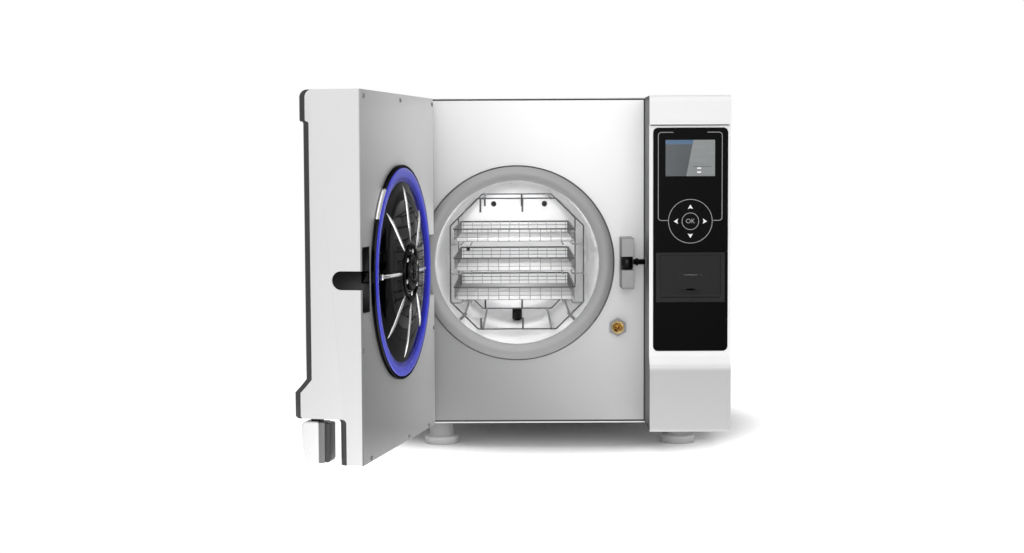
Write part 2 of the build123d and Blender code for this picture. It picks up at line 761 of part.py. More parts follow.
def make_door():
    cover = prism_x(door_outline(-door_inner_front), -door_half, door_half)
    hollow = offset(door_outline(10), -door_wall, kind=Kind.INTERSECTION)
    cover -= prism_x(hollow, -door_half + door_wall, door_half - door_wall)
    slot = area(-slot_front, 20, -slot_half, slot_half, slot_half - 0.2)
    cover -= prism_x(slot, door_half - door_wall - 1, door_half + 1)
    cover -= block(-door_half - 1, notch_right_x, -notch_front, 0, -notch_half_z, notch_half_z)
    tang_left = door_half - handle_width / 2 - handle_tang / 2 - 1
    cover -= block(tang_left, tang_left + handle_tang + 2, handle_pin_y - 12, handle_pin_y + 14,
                   chin_under_z - 1, chin_under_z + door_wall + 1)
    keep("door_cover", cover, door=True)

    face = area(-door_half, door_half, -door_below, door_above)
    face -= Circle(52)
    face -= area(pocket_left_x, pocket_right_x, -pocket_half_z, pocket_half_z)
    face -= area(-door_half - 1, notch_right_x, -notch_half_z, notch_half_z)
    face -= area(pocket_right_x - 1, door_half + 1, -slot_half, slot_half)
    keep("door_inner_panel", prism_y(face, -door_inner_front + fit / 10, -door_gap), door=True)

    top = -door_inner_front - fit
    liner = block(pocket_left_x, pocket_right_x, -pocket_front, top, -pocket_half_z, pocket_half_z)
    liner -= block(pocket_left_x + liner_wall, pocket_right_x - liner_wall, -pocket_front + liner_wall, top + 1,
                   -pocket_half_z + liner_wall, pocket_half_z - liner_wall)
    liner -= block(pocket_right_x - 3, pocket_right_x + 1, -slot_front, top + 1, -slot_half, slot_half)
    liner -= block(pocket_left_x - 1, pocket_left_x + 3, -hook_tip_front - 2, top + 1,
                   latch_z - hook_thick / 2 - 2, latch_z + hook_thick / 2 + 2)
    keep("latch_pocket", liner, door=True)

    plate = block(beam_left_x, beam_right_x, -beam_front, -beam_front + beam_thick, -beam_half_z, beam_half_z)
    half = hinge_block_height / 2
    post_z = half + fit + lug_height
    plate += block(beam_left_x, beam_left_x + 10, hinge_y - 9, -beam_front + beam_thick + 6, -post_z, post_z)
    for side in (-1, 1):
        z0, z1 = side * (half + fit), side * post_z
        lug = block(hinge_x, beam_left_x + 1, hinge_y - 9, hinge_y + 9, z0, z1)
        lug += rod_z(9, min(z0, z1), max(z0, z1), hinge_x, hinge_y)
        lug -= rod_z(hinge_pin_radius + run_fit, min(z0, z1) - 1, max(z0, z1) + 1, hinge_x, hinge_y)
        plate += lug
    for x in (-120, 25):
        plate += block(x, x + 14, -door_front + door_wall + fit, -beam_front, -beam_half_z, beam_half_z)
    plate += rod_y(42, -beam_front + beam_thick, -beam_front + beam_thick + 6, 0, 0)
    plate += rod_y(15, -beam_front + beam_thick + 6, -20, 0, 0)
    post_x = latch_x - hook_post_gap - hook_thick
    guide_right = post_x - guide_gap
    guide_left = guide_right - guide_width
    z0, z1 = latch_z - hook_thick / 2, latch_z + hook_thick / 2
    guide = block(guide_left, guide_right, -hook_front - guide_wall, -beam_front, z0 - guide_wall, z1 + guide_wall)
    guide -= block(guide_left - 1, guide_right + 1, -hook_front - fit, -beam_front - fit, z0 - fit, z1 + fit)
    keep("door_beam", plate + guide, door=True)
    hook = block(guide_left - hook_travel, post_x + hook_thick, -hook_front, -beam_front - 2 * fit, z0, z1)
    hook += block(post_x, post_x + hook_thick, -hook_front, -hook_tip_back, z0, z1)
    hook += block(post_x, latch_x - hook_tip_gap, -hook_tip_front, -hook_tip_back, z0, z1)
    keep("latch_hook", hook, door=True)


# Pressure lid on the door

def make_lid():
    web = 3
    crown = hub_radius + 20
    groove_inner = gasket_inner - fit
    rim_inner = gasket_inner - 5
    slope_end = rim_inner - 8
    profile = outline(
        (0, -20), (30, -20), (30, 1 - web - 2), (crown, 1 - web),
        (slope_end - 6, -8 - web), (slope_end + 2, -lid_back),
        (lid_radius, -lid_back), (lid_radius, -lid_front - 0.8), (lid_radius - 0.8, -lid_front),
        (gasket_outer + fit, -lid_front), (gasket_outer + fit, -gasket_seat - fit),
        (groove_inner, -gasket_seat - fit), (groove_inner, -9.5), (rim_inner, -9.5), (slope_end, -8),
        (crown, 1), (0, 1))
    lid = revolve(profile, Axis.Y)
    rib_line = outline((rib_inner, -1), (rib_inner, 3.2), (rib_inner + 6, 4), (rib_outer - 8, -3.4),
                       (rib_outer, -7.5), (rib_outer, -9.5))
    rib = Pos(0, 0, -rib_width / 2) * extrude(rib_line, rib_width)
    for index in range(rib_count):
        lid += rib.rotate(Axis.Y, 360 / rib_count * index)
    keep("pressure_lid", lid, door=True)

    gasket = ring_y(gasket_outer, gasket_inner, -gasket_seat, -gasket_front)
    gasket = fillet(gasket.edges().group_by(Axis.Y)[-1], 2)
    keep("lid_gasket", gasket, door=True)

    hub = rod_y(hub_radius, 1 + run_fit, hub_tip - 2, 0, 0)
    hub = chamfer(hub.edges().sort_by(Axis.Y)[-1], 2)
    hub += rod_y(9, hub_tip - 2, hub_tip, 0, 0)
    keep("lid_hub", hub, door=True)


# Pull handle under the door's chin

def make_handle():
    right = door_half - 0.5
    left = right - handle_width
    middle = (left + right) / 2
    grip = outline((-handle_back, handle_top_z), (-handle_front + 7, handle_top_z), (-handle_front, handle_top_z - 7),
                   (-handle_front + 4, handle_bottom_z + 6), (-handle_front + 8, handle_bottom_z),
                   (-handle_back - 4, handle_bottom_z), (-handle_back, handle_bottom_z + 8))
    lever = prism_x(grip, left, right)
    lever = fillet(lever.edges().filter_by(Axis.X, reverse=True).group_by(Axis.X)[-1], 2)
    boss = handle_pin_radius + 4
    lever += block(middle - handle_tang / 2, middle + handle_tang / 2, handle_pin_y - boss, handle_pin_y + boss,
                   handle_top_z - 1, handle_pin_z)
    lever += rod_x(boss, middle - handle_tang / 2, middle + handle_tang / 2, handle_pin_y, handle_pin_z)
    lever -= rod_x(handle_pin_radius + run_fit, left, right, handle_pin_y, handle_pin_z)
    keep("door_handle", lever, door=True)

    floor_z = chin_under_z + door_wall
    ears = []
    for x in (middle - handle_tang / 2 - fit - 3, middle + handle_tang / 2 + fit):
        ear = block(x, x + 3, handle_pin_y - 8, handle_pin_y + 8, floor_z, handle_pin_z + 7)
        ears.append(ear - rod_x(handle_pin_radius, x - 1, x + 4, handle_pin_y, handle_pin_z))
    bracket = ears[0] + ears[1]
    bracket += block(middle - handle_tang / 2 - fit - 3, middle + handle_tang / 2 + fit + 3,
                     handle_pin_y - 8, handle_pin_y + 8, handle_pin_z + 7, handle_pin_z + 9)
    reach = handle_tang / 2 + fit + 3
    pin = rod_x(handle_pin_radius, middle - reach, middle + reach, handle_pin_y, handle_pin_z)
    keep("handle_bracket", bracket, pin, door=True)


# Door screws

def make_screws():
    edge = door_half - screw_edge
    high, low = door_above - 8.5, -door_below + 4
    places = ((edge - 10, high), (-edge, high), (edge, -91), (-edge, -94), (-38, low), (-6, high),
              (edge - 33, low), (33 - edge, low))
    heads = []
    for x, z in places:
        head = rod_y(3, -door_gap, -door_gap + 1.5, x, z)
        heads.append(chamfer(head.edges().sort_by(Axis.Y)[-1], 0.6))
    keep("door_screws", *heads, door=True)


# Tray rack and trays

def octagon(half, low, high, corner):
    """Corners of an octagon in x and z."""
    return [(-half + corner, high), (half - corner, high), (half, high - corner), (half, low + corner),
            (half - corner, low), (-half + corner, low), (-half, low + corner), (-half, high - corner)]


def rack_ring(y):
    """One octagonal frame of eight mitred wires."""
    outer = octagon(rack_half, rack_bottom_z, rack_top_z, rack_corner)
    inner = octagon(rack_half - wire, rack_bottom_z + wire, rack_top_z - wire, rack_corner - wire * (2 - sqrt(2)))
    wires = []
    for index in range(8):
        after = (index + 1) % 8
        side = outline(outer[index], outer[after], inner[after], inner[index])
        wires.append(prism_y(side, y, y + wire))
    return wires


def make_rack():
    back_y = rack_front_y + rack_length
    wires = rack_ring(rack_front_y) + rack_ring(back_y - wire)
    front, back, radius = rack_front_y + wire, back_y - wire, wire / 2
    for level in range(tray_count):
        z = tray_low_z + level * tray_pitch - radius
        for side in (-1, 1):
            wires.append(rod_y(radius, front, back, side * runner_x, z))
            inner, outer = side * (runner_x - radius), side * (rack_half - wire)
            for y in (rack_front_y, back_y - wire):
                wires.append(block(min(inner, outer), max(inner, outer), y, y + wire, z - radius, z + radius))
    for x in (-rack_rail_x, rack_rail_x):
        for z in (rack_bottom_z + radius, rack_top_z - radius):
            wires.append(rod_y(radius, front, back, x, z))
    for x in (hanger_shift - hanger_side, hanger_shift + hanger_side):
        for z in (rack_bottom_z + wire, rack_top_z - wire - hanger_length):
            wires.append(rod_z(radius, z, z + hanger_length, x, rack_front_y + radius))
    foot_inner = (rack_half - rack_bottom_z - rack_corner) / sqrt(2)
    for y in (rack_front_y + radius, back_y - radius):
        for turn in (45, 135):
            foot = rod_x(radius, foot_inner, bore_radius - fit, 0, 0)
            wires.append(Pos(0, y, 0) * (Rot(0, turn, 0) * foot))
    keep("rack_frame", *wires)


def pierced_wall(start, end, low, high, window, window_height):
    """Wall outline with two rows of windows."""
    pitch = window + tray_rib
    spots = GridLocations(pitch, window_height + tray_rib, int((end - start - 2 * tray_rib) // pitch), 2)
    middle = Pos((start + end) / 2, (low + high) / 2)
    return area(start, end, low, high) - [middle * spot * Rectangle(window, window_height) for spot in spots]


def make_tray(index):
    low = tray_low_z + index * tray_pitch + fit
    high = low + tray_height
    y0, y1 = tray_front_y, tray_front_y + tray_length
    half = tray_half - tray_rim
    floor = area(-half, half, y0, y1)
    pitch_x, pitch_y = tray_slot_x + tray_rib, tray_slot_y + tray_rib
    count_x, count_y = int((2 * half - tray_rib) // pitch_x), int((tray_length - tray_rib) // pitch_y)
    holes = GridLocations(pitch_x, pitch_y, count_x, count_y)
    middle = Pos(0, (y0 + y1) / 2)
    floor -= [middle * spot * Rectangle(tray_slot_x, tray_slot_y) for spot in holes]
    wall_low, wall_high = low + tray_wall, high - 1
    window_height = (wall_high - wall_low - 3 * tray_rib) / 2
    inner_y0, inner_y1 = y0 + tray_wall, y1 - tray_wall
    end_wall = pierced_wall(-half, half, wall_low, wall_high, tray_window, window_height)
    side_wall = pierced_wall(inner_y0, inner_y1, wall_low, wall_high, tray_side_window, window_height)
    rim_top = wall_high + tray_rim
    edge = half - tray_wall
    sheets = [prism_z(floor, low, low + tray_wall),
              prism_y(end_wall, y0, inner_y0), prism_y(end_wall, inner_y1, y1),
              prism_x(side_wall, -half, -edge), prism_x(side_wall, edge, half),
              block(-tray_half, tray_half, y0 - tray_rim, inner_y0, wall_high, rim_top),
              block(-tray_half, tray_half, inner_y1, y1 + tray_rim, wall_high, rim_top),
              block(-tray_half, -edge, inner_y0, inner_y1, wall_high, rim_top),
              block(edge, tray_half, inner_y0, inner_y1, wall_high, rim_top)]
    keep(f"tray_{index + 1}", *[Pos(tray_shift, 0, 0) * panel for panel in sheets])


# Water tanks, pumps and other inner units

def make_tanks():
    top = case_above - sheet - fit
    tank = block(tank_left_x, tank_right_x, tank_front_y, tank_back_y, tank_bottom_z, top)
    tank -= block(tank_left_x + tank_wall, tank_right_x - tank_wall, tank_front_y + tank_wall,
                  tank_back_y - tank_wall, tank_bottom_z + tank_wall, top + 1)
    keep("clean_water_tank", tank)
    waste = block(tank_right_x + tank_gap, waste_right_x, tank_front_y, tank_back_y, tank_bottom_z, top)
    waste -= block(tank_right_x + tank_gap + tank_wall, waste_right_x - tank_wall, tank_front_y + tank_wall,
                   tank_back_y - tank_wall, tank_bottom_z + tank_wall, top + 1)
    keep("waste_water_tank", waste)
    reach = filler_half + lid_rim
    lid = block(filler_x - reach, filler_x + reach, filler_y - reach, filler_y + reach,
                case_above + fit, case_above + fit + lid_plate_thick)
    lid = fillet(lid.edges().filter_by(Axis.Z), lid_rim)
    plug = filler_half - fit
    plug_front, plug_back = filler_y - plug + lid_swing_room, filler_y + plug - lid_rim
    lid += block(filler_x - plug, filler_x + plug, plug_front, plug_back, case_above - plug_depth, case_above + fit)
    lid -= block(filler_x - plug + 2, filler_x + plug - 2, plug_front + 2, plug_back - 2,
                 case_above - plug_depth - 1, case_above + fit)
    for x in ear_places():
        lid -= block(x - fit, x + ear_wide + fit, lid_hinge_y - 2 * ear_radius, lid_hinge_y + ear_radius,
                     case_above, case_above + 2 * ear_radius)
    pin_reach = ear_spread + ear_wide - 2
    lid += rod_x(lid_pin_radius, filler_x - pin_reach, filler_x + pin_reach, lid_hinge_y, lid_hinge_z)
    keep("tank_lid", lid)


def make_units():
    floor = base_top
    right, left = right_inner, left_inner
    generator_x = right - generator_from_right
    rim_z = floor + generator_height
    generator = rod_z(generator_radius, floor, rim_z, generator_x, generator_y)
    generator += rod_z(generator_radius + generator_rim, rim_z, rim_z + generator_rim, generator_x, generator_y)
    generator += rod_z(generator_neck, rim_z + generator_rim, rim_z + generator_rim + 17, generator_x, generator_y)
    keep("steam_generator", generator)
    pump_x = right - pump_from_right
    head_y = pump_front_y + pump_length
    pump = rod_y(pump_radius, pump_front_y, head_y, pump_x, floor + pump_radius + 10)
    pump += block(pump_x - pump_head_half, pump_x + pump_head_half, head_y, head_y + pump_head_length,
                  floor, floor + pump_height)
    pump += block(pump_x - pump_head_half + 5, pump_x + pump_head_half - 5, pump_front_y + 10, head_y - 10,
                  floor, floor + pump_radius / 2)
    keep("vacuum_pump", pump)
    water_x = left + water_from_left
    head_y = water_front_y + water_length
    water = rod_y(water_radius, water_front_y, head_y, water_x, floor + water_radius + 4)
    water += block(water_x - water_head / 2, water_x + water_head / 2, head_y, head_y + 35, floor, floor + water_head)
    water += block(water_x - 15, water_x + 15, water_front_y + 10, head_y - 10, floor, floor + 8)
    keep("water_pump", water)
    manifold_x = left + manifold_from_left
    manifold_top = floor + manifold_height
    manifold = block(manifold_x - manifold_half, manifold_x + manifold_half, manifold_front_y,
                     manifold_front_y + manifold_length, floor, manifold_top)
    first_y = manifold_front_y + coil_pitch / 2
    for index in range(coil_count):
        manifold += rod_z(coil_radius, manifold_top, manifold_top + coil_height, manifold_x,
                          first_y + index * coil_pitch)
    keep("valve_manifold", manifold)
    half = fan_size / 2
    fin_left, fin_right, fin_low, fin_high = fan_x - half, fan_x + half, fan_z - half, fan_z + half
    fin_y = case_depth - 90
    fins = block(fin_left, fin_right, fin_y, fin_y + 4, fin_low, fin_high)
    for index in range(1, 11):
        fins += block(fin_left, fin_right, fin_y + index * 4, fin_y + index * 4 + 1, fin_low, fin_high)
    for x in (fan_x - 34, fan_x, fan_x + 34):
        fins += rod_y(5, fin_y - 2, fin_y + 46, x, fan_z)
    for x in (fin_left, fin_right - sheet):
        fins += block(x, x + sheet, fin_y, back_inner - fan_thick, fin_low, fin_high)
    keep("condenser", fins)
    frame = block(fan_x - fan_size / 2, fan_x + fan_size / 2, back_inner - fan_thick, back_inner,
                  fan_z - fan_size / 2, fan_z + fan_size / 2)
    frame -= rod_y(fan_size / 2 - 4, back_inner - fan_thick - 1, back_inner + 1, fan_x, fan_z)
    frame += rod_y(fan_hub - 2, back_inner - fan_thick, back_inner - fan_thick + 3, fan_x, fan_z)
    for turn in range(4):
        arm = Pos(fan_x, fan_z) * Rot(0, 0, 45 + 90 * turn) * (Pos(fan_size / 4, 0) * Rectangle(fan_size / 2 - 2, 4))
        frame += prism_y(arm, back_inner - fan_thick, back_inner - fan_thick + 3)
    frame += rod_y(3, back_inner - fan_thick + 3, back_inner - 6, fan_x, fan_z)
    keep("fan_housing", frame)
    rotor = rod_y(fan_hub, back_inner - fan_thick + 3 + fit, back_inner - 4, fan_x, fan_z)
    for turn in range(fan_blades):
        spoke = Pos(0, 0, 0) * Box(fan_size / 2 - 8 - fan_hub, 1.6, 18)
        spoke = Pos((fan_size / 2 - 8 + fan_hub) / 2 - 1, 0, 0) * (Rot(40, 0, 0) * spoke)
        spoke = Rot(0, 360 / fan_blades * turn, 0) * spoke
        rotor += Pos(fan_x, back_inner - 13, fan_z) * spoke
    rotor -= rod_y(3 + run_fit, back_inner - fan_thick, back_inner - 5.8, fan_x, fan_z)
    keep("fan_rotor", rotor)
    board_x, board_back_y = right - board_from_right, board_front_y + board_length
    board = block(board_x, board_x + key_board_thick, board_front_y, board_back_y, board_low_z, board_high_z)
    parts_on_board = ((80, 60, 40, 40, 14), (140, 60, 30, 50, 20), (200, 40, 40, 30, 12), (90, -50, 60, 40, 18))
    for y, z, wide, high, deep in parts_on_board:
        board += block(board_x - deep, board_x, y, y + wide, z, z + high)
    for y in (board_front_y + 6, board_back_y - 10):
        for z in (board_low_z + 8, board_high_z - 8):
            board += rod_x(3, board_x + key_board_thick, right, y, z)
    supply = block(right - supply_deep, right - fit, supply_front_y, supply_front_y + supply_length,
                   supply_low_z, supply_high_z)
    keep("control_electronics", board, supply)
    inlet = block(inlet_x - 24, inlet_x + 24, back_inner - 20, case_depth, inlet_z - 14, inlet_z + 14)
    inlet += block(inlet_x - 30, inlet_x + 30, case_depth, case_depth + 2.5, inlet_z - 17, inlet_z + 17)
    well = area(inlet_x - 12.5, inlet_x + 12.5, inlet_z - 8.5, inlet_z + 8.5, 3)
    inlet -= prism_y(well, case_depth - 14, case_depth + 4)
    for dx, dz in ((-7, -2), (0, 2), (7, -2)):
        x, z = inlet_x + dx, inlet_z + dz
        inlet += block(x - 1, x + 1, case_depth - 14, case_depth, z - 2, z + 2)
    bezel = block(inlet_x - 14.5, inlet_x + 14.5, back_inner - 18, case_depth, switch_z - 11, switch_z + 11)
    bezel += block(inlet_x - 17, inlet_x + 17, case_depth, case_depth + 2, switch_z - 14, switch_z + 14)
    bezel -= block(inlet_x - 12, inlet_x + 12, case_depth - 12, case_depth + 3, switch_z - 8.5, switch_z + 8.5)
    rocker_y = case_depth - 2
    bezel -= rod_z(switch_pin + run_fit, switch_z - 10.3, switch_z + 10.3, inlet_x, rocker_y)
    keep("power_inlet", inlet, bezel)
    side = outline((-11, 4.2), (0, 2.6), (11, 6.2), (11, -3), (4, -6), (-4, -6), (-11, -3))
    rocker = prism_z(Pos(inlet_x, rocker_y) * side, switch_z - 8, switch_z + 8)
    rocker += rod_z(switch_pin, switch_z - 10, switch_z + 10, inlet_x, rocker_y)
    keep("power_switch", rocker)
    valve = rod_y(8.5, back_inner - 30, case_depth + 12, valve_x, valve_z)
    valve += rod_y(13, case_depth, case_depth + 4, valve_x, valve_z)
    valve += rod_y(5, case_depth + 12, case_depth + 18, valve_x, valve_z)
    keep("safety_valve", valve)


def make_pipework():
    sockets = []
    for x in (port_left_x, port_right_x):
        sockets.append(ring_y(10, port_radius, vessel_end, socket_end, x, port_z))
    probe = rod_y(probe_radius, vessel_depth - 8, vessel_depth + 30, probe_x, 0)
    probe += rod_y(7, vessel_end + fit, vessel_end + 14, probe_x, 0)
    y = socket_end + pipe_turn
    left_x, right_x = left_inner + manifold_from_left + 1, fan_x - 61
    pump_end = right_inner - pump_from_right - pump_head_half - 1
    pump_y = pump_front_y + pump_length + pump_head_length / 2
    valve_y, valve_top = manifold_front_y + 100, base_top + manifold_height + coil_height + 2
    inlet_level = base_top + 60
    path_a = FilletPolyline((port_left_x, socket_end, port_z), (port_left_x, y, port_z),
                            (port_left_x, y, pipe_level_z), (left_x, y, pipe_level_z),
                            (left_x, y, pipe_low_z - 20), (left_x, valve_y, pipe_low_z - 20),
                            (left_x, valve_y, valve_top), radius=pipe_bend)
    path_b = FilletPolyline((port_right_x, socket_end, port_z), (port_right_x, y, port_z),
                            (port_right_x, y, pipe_low_z), (right_x, y, pipe_low_z), (right_x, pump_y, pipe_low_z),
                            (right_x, pump_y, inlet_level), (pump_end, pump_y, inlet_level), radius=pipe_bend)
    pipes = []
    for path in (path_a, path_b):
        start = Plane(origin=path @ 0, z_dir=path % 0)
        pipes.append(sweep(start * Circle(pipe_radius), path=path))
    keep("chamber_pipework", *sockets, probe, *pipes)


def build_all():
    make_casing()
    make_feet()
    make_chamber()
    make_column()
    make_printer()
    make_hinge_and_latch()
    make_drain_fitting()
    make_door()
    make_lid()
    make_handle()
    make_screws()
    make_rack()
    for index in range(tray_count):
        make_tray(index)
    make_tanks()
    make_units()
    make_pipework()


build_all()
os.makedirs("parts", exist_ok=True)
for name, solids in pieces.items():
    shape = solids[0] if len(solids) == 1 else Compound(children=solids)
    export_step(shape, f"parts/{name}.step")
print(len(pieces), "nodes")
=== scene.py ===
import bpy
import bmesh
from math import cos, sin, pi, radians
from mathutils import Matrix, Vector


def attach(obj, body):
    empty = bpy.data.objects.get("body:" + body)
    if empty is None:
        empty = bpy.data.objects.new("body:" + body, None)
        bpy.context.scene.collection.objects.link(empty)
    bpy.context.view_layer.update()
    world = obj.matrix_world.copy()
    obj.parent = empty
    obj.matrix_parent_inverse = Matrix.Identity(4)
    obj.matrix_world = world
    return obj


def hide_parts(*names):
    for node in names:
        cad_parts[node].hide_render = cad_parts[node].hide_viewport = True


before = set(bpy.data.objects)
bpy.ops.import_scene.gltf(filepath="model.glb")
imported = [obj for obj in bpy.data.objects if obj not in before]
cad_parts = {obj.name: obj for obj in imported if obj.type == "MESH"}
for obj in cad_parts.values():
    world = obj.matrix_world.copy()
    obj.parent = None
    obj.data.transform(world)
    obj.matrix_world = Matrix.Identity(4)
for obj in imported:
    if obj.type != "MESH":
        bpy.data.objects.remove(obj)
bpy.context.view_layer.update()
print("steriliser: frame loaded")

# Places are in millimetres from the middle of the chamber mouth, as in the part's source
mouthPlace = Vector((-65, -285, 281))
doorHinge = Vector((-161.4, -46.75, 0))
doorAngle = radians(-101.55)
toFrame = Matrix.Scale(0.001, 4) @ Matrix.Translation(mouthPlace)
doorSwing = Matrix.Translation(doorHinge) @ Matrix.Rotation(doorAngle, 4, "Z") @ Matrix.Translation(-doorHinge)
doorToFrame = toFrame @ doorSwing


# Colours and finishes

def shade(level, tint=(1, 1, 1)):
    # linear colour of a screen value from 0 to 255
    value = level / 255
    linear = value / 12.92 if value <= 0.04045 else ((value + 0.055) / 1.055) ** 2.4
    return tuple(linear * part for part in tint)


def setInputs(node, values):
    for label, value in values.items():
        node.inputs[label].default_value = value
    return node


def linkAll(tree, *joins):
    # each join is a node and its output, then a node and its input
    for start, output, end, entry in joins:
        tree.links.new(start.outputs[output], end.inputs[entry])


# what a finish has where its own settings say nothing
plainLook = {
    "metallic": 0.0, "coat": 0.0, "coatRoughness": 0.1, "ior": 1.5, "specular": 0.5, "edgeTint": 1.0, "glow": 0.0,
    "grain": 300, "grainDetail": 4.0, "cloud": 14.0, "cloudDetail": 3.0, "grainShare": 0.5, "spread": 0.04,
    "roughSpread": 0.05, "smoothest": 0.02, "bump": 0.1, "bumpDepth": 0.0002, "fade": None,
}
noiseRange = (0.3, 0.7)


def makeFinish(name, settings):
    look = {**plainLook, **settings}
    material = bpy.data.materials.new(name)
    material.use_nodes = True
    tree = material.node_tree
    nodes = tree.nodes
    shader = setInputs(nodes["Principled BSDF"], {
        "Metallic": look["metallic"], "Coat Weight": look["coat"], "Coat Roughness": look["coatRoughness"],
        "IOR": look["ior"], "Specular IOR Level": look["specular"],
        "Specular Tint": (look["edgeTint"],) * 3 + (1,), "Emission Strength": look["glow"]})
    where = nodes.new("ShaderNodeTexCoord")
    fine = look["grain"] if isinstance(look["grain"], tuple) else (look["grain"],) * 3
    stretch = setInputs(nodes.new("ShaderNodeMapping"), {"Scale": fine})
    grain = setInputs(nodes.new("ShaderNodeTexNoise"), {"Scale": 1.0, "Detail": look["grainDetail"]})
    cloud = setInputs(nodes.new("ShaderNodeTexNoise"), {"Scale": look["cloud"], "Detail": look["cloudDetail"]})
    # colour drifts slowly over the surface, with the grain on top
    drift = nodes.new("ShaderNodeMix")
    drift.data_type = "FLOAT"
    setInputs(drift, {"Factor": look["grainShare"]})
    ramp = nodes.new("ShaderNodeValToRGB")
    for stop, place, share in zip(ramp.color_ramp.elements, noiseRange, (1 - look["spread"], 1 + look["spread"])):
        stop.position = place
        stop.color = tuple(min(1, part * share) for part in look["colour"]) + (1,)
    linkAll(tree, (where, "Object", stretch, "Vector"), (stretch, "Vector", grain, "Vector"),
            (where, "Object", cloud, "Vector"), (cloud, "Fac", drift, 2), (grain, "Fac", drift, 3),
            (drift, 0, ramp, "Fac"))
    if look["fade"]:
        # painted shade: the colour darkens slowly across the whole sheet, standing in for how the light falls on it
        fade = look["fade"]
        along = nodes.new("ShaderNodeVectorMath")
        along.operation = "DOT_PRODUCT"
        paintedShade = nodes.new("ShaderNodeMapRange")
        paintedShade.interpolation_type = "SMOOTHSTEP"
        shadedColour = nodes.new("ShaderNodeVectorMath")
        shadedColour.operation = "SCALE"
        setInputs(along, {1: fade["along"]})
        setInputs(paintedShade, {"From Min": fade["low"], "From Max": fade["high"], "To Min": fade["share"]})
        linkAll(tree, (where, "Object", along, 0), (along, "Value", paintedShade, "Value"), (ramp, "Color", shadedColour, 0),
                (paintedShade, "Result", shadedColour, "Scale"), (shadedColour, "Vector", shader, "Base Color"))
    else:
        linkAll(tree, (ramp, "Color", shader, "Base Color"))
    if look["glow"]:
        linkAll(tree, (ramp, "Color", shader, "Emission Color"))
    rough, drifting = look["roughness"], look["roughSpread"]
    gloss = setInputs(nodes.new("ShaderNodeMapRange"), {
        "From Min": noiseRange[0], "From Max": noiseRange[1], "To Min": max(look["smoothest"], rough - drifting),
        "To Max": rough + drifting})
    bump = setInputs(nodes.new("ShaderNodeBump"), {"Strength": look["bump"], "Distance": look["bumpDepth"]})
    linkAll(tree, (drift, 0, gloss, "Value"), (gloss, "Result", shader, "Roughness"),
            (grain, "Fac", bump, "Height"), (bump, "Normal", shader, "Normal"))
    return material


def finishLook(colour, roughness, **others):
    return {"colour": colour, "roughness": roughness, **others}


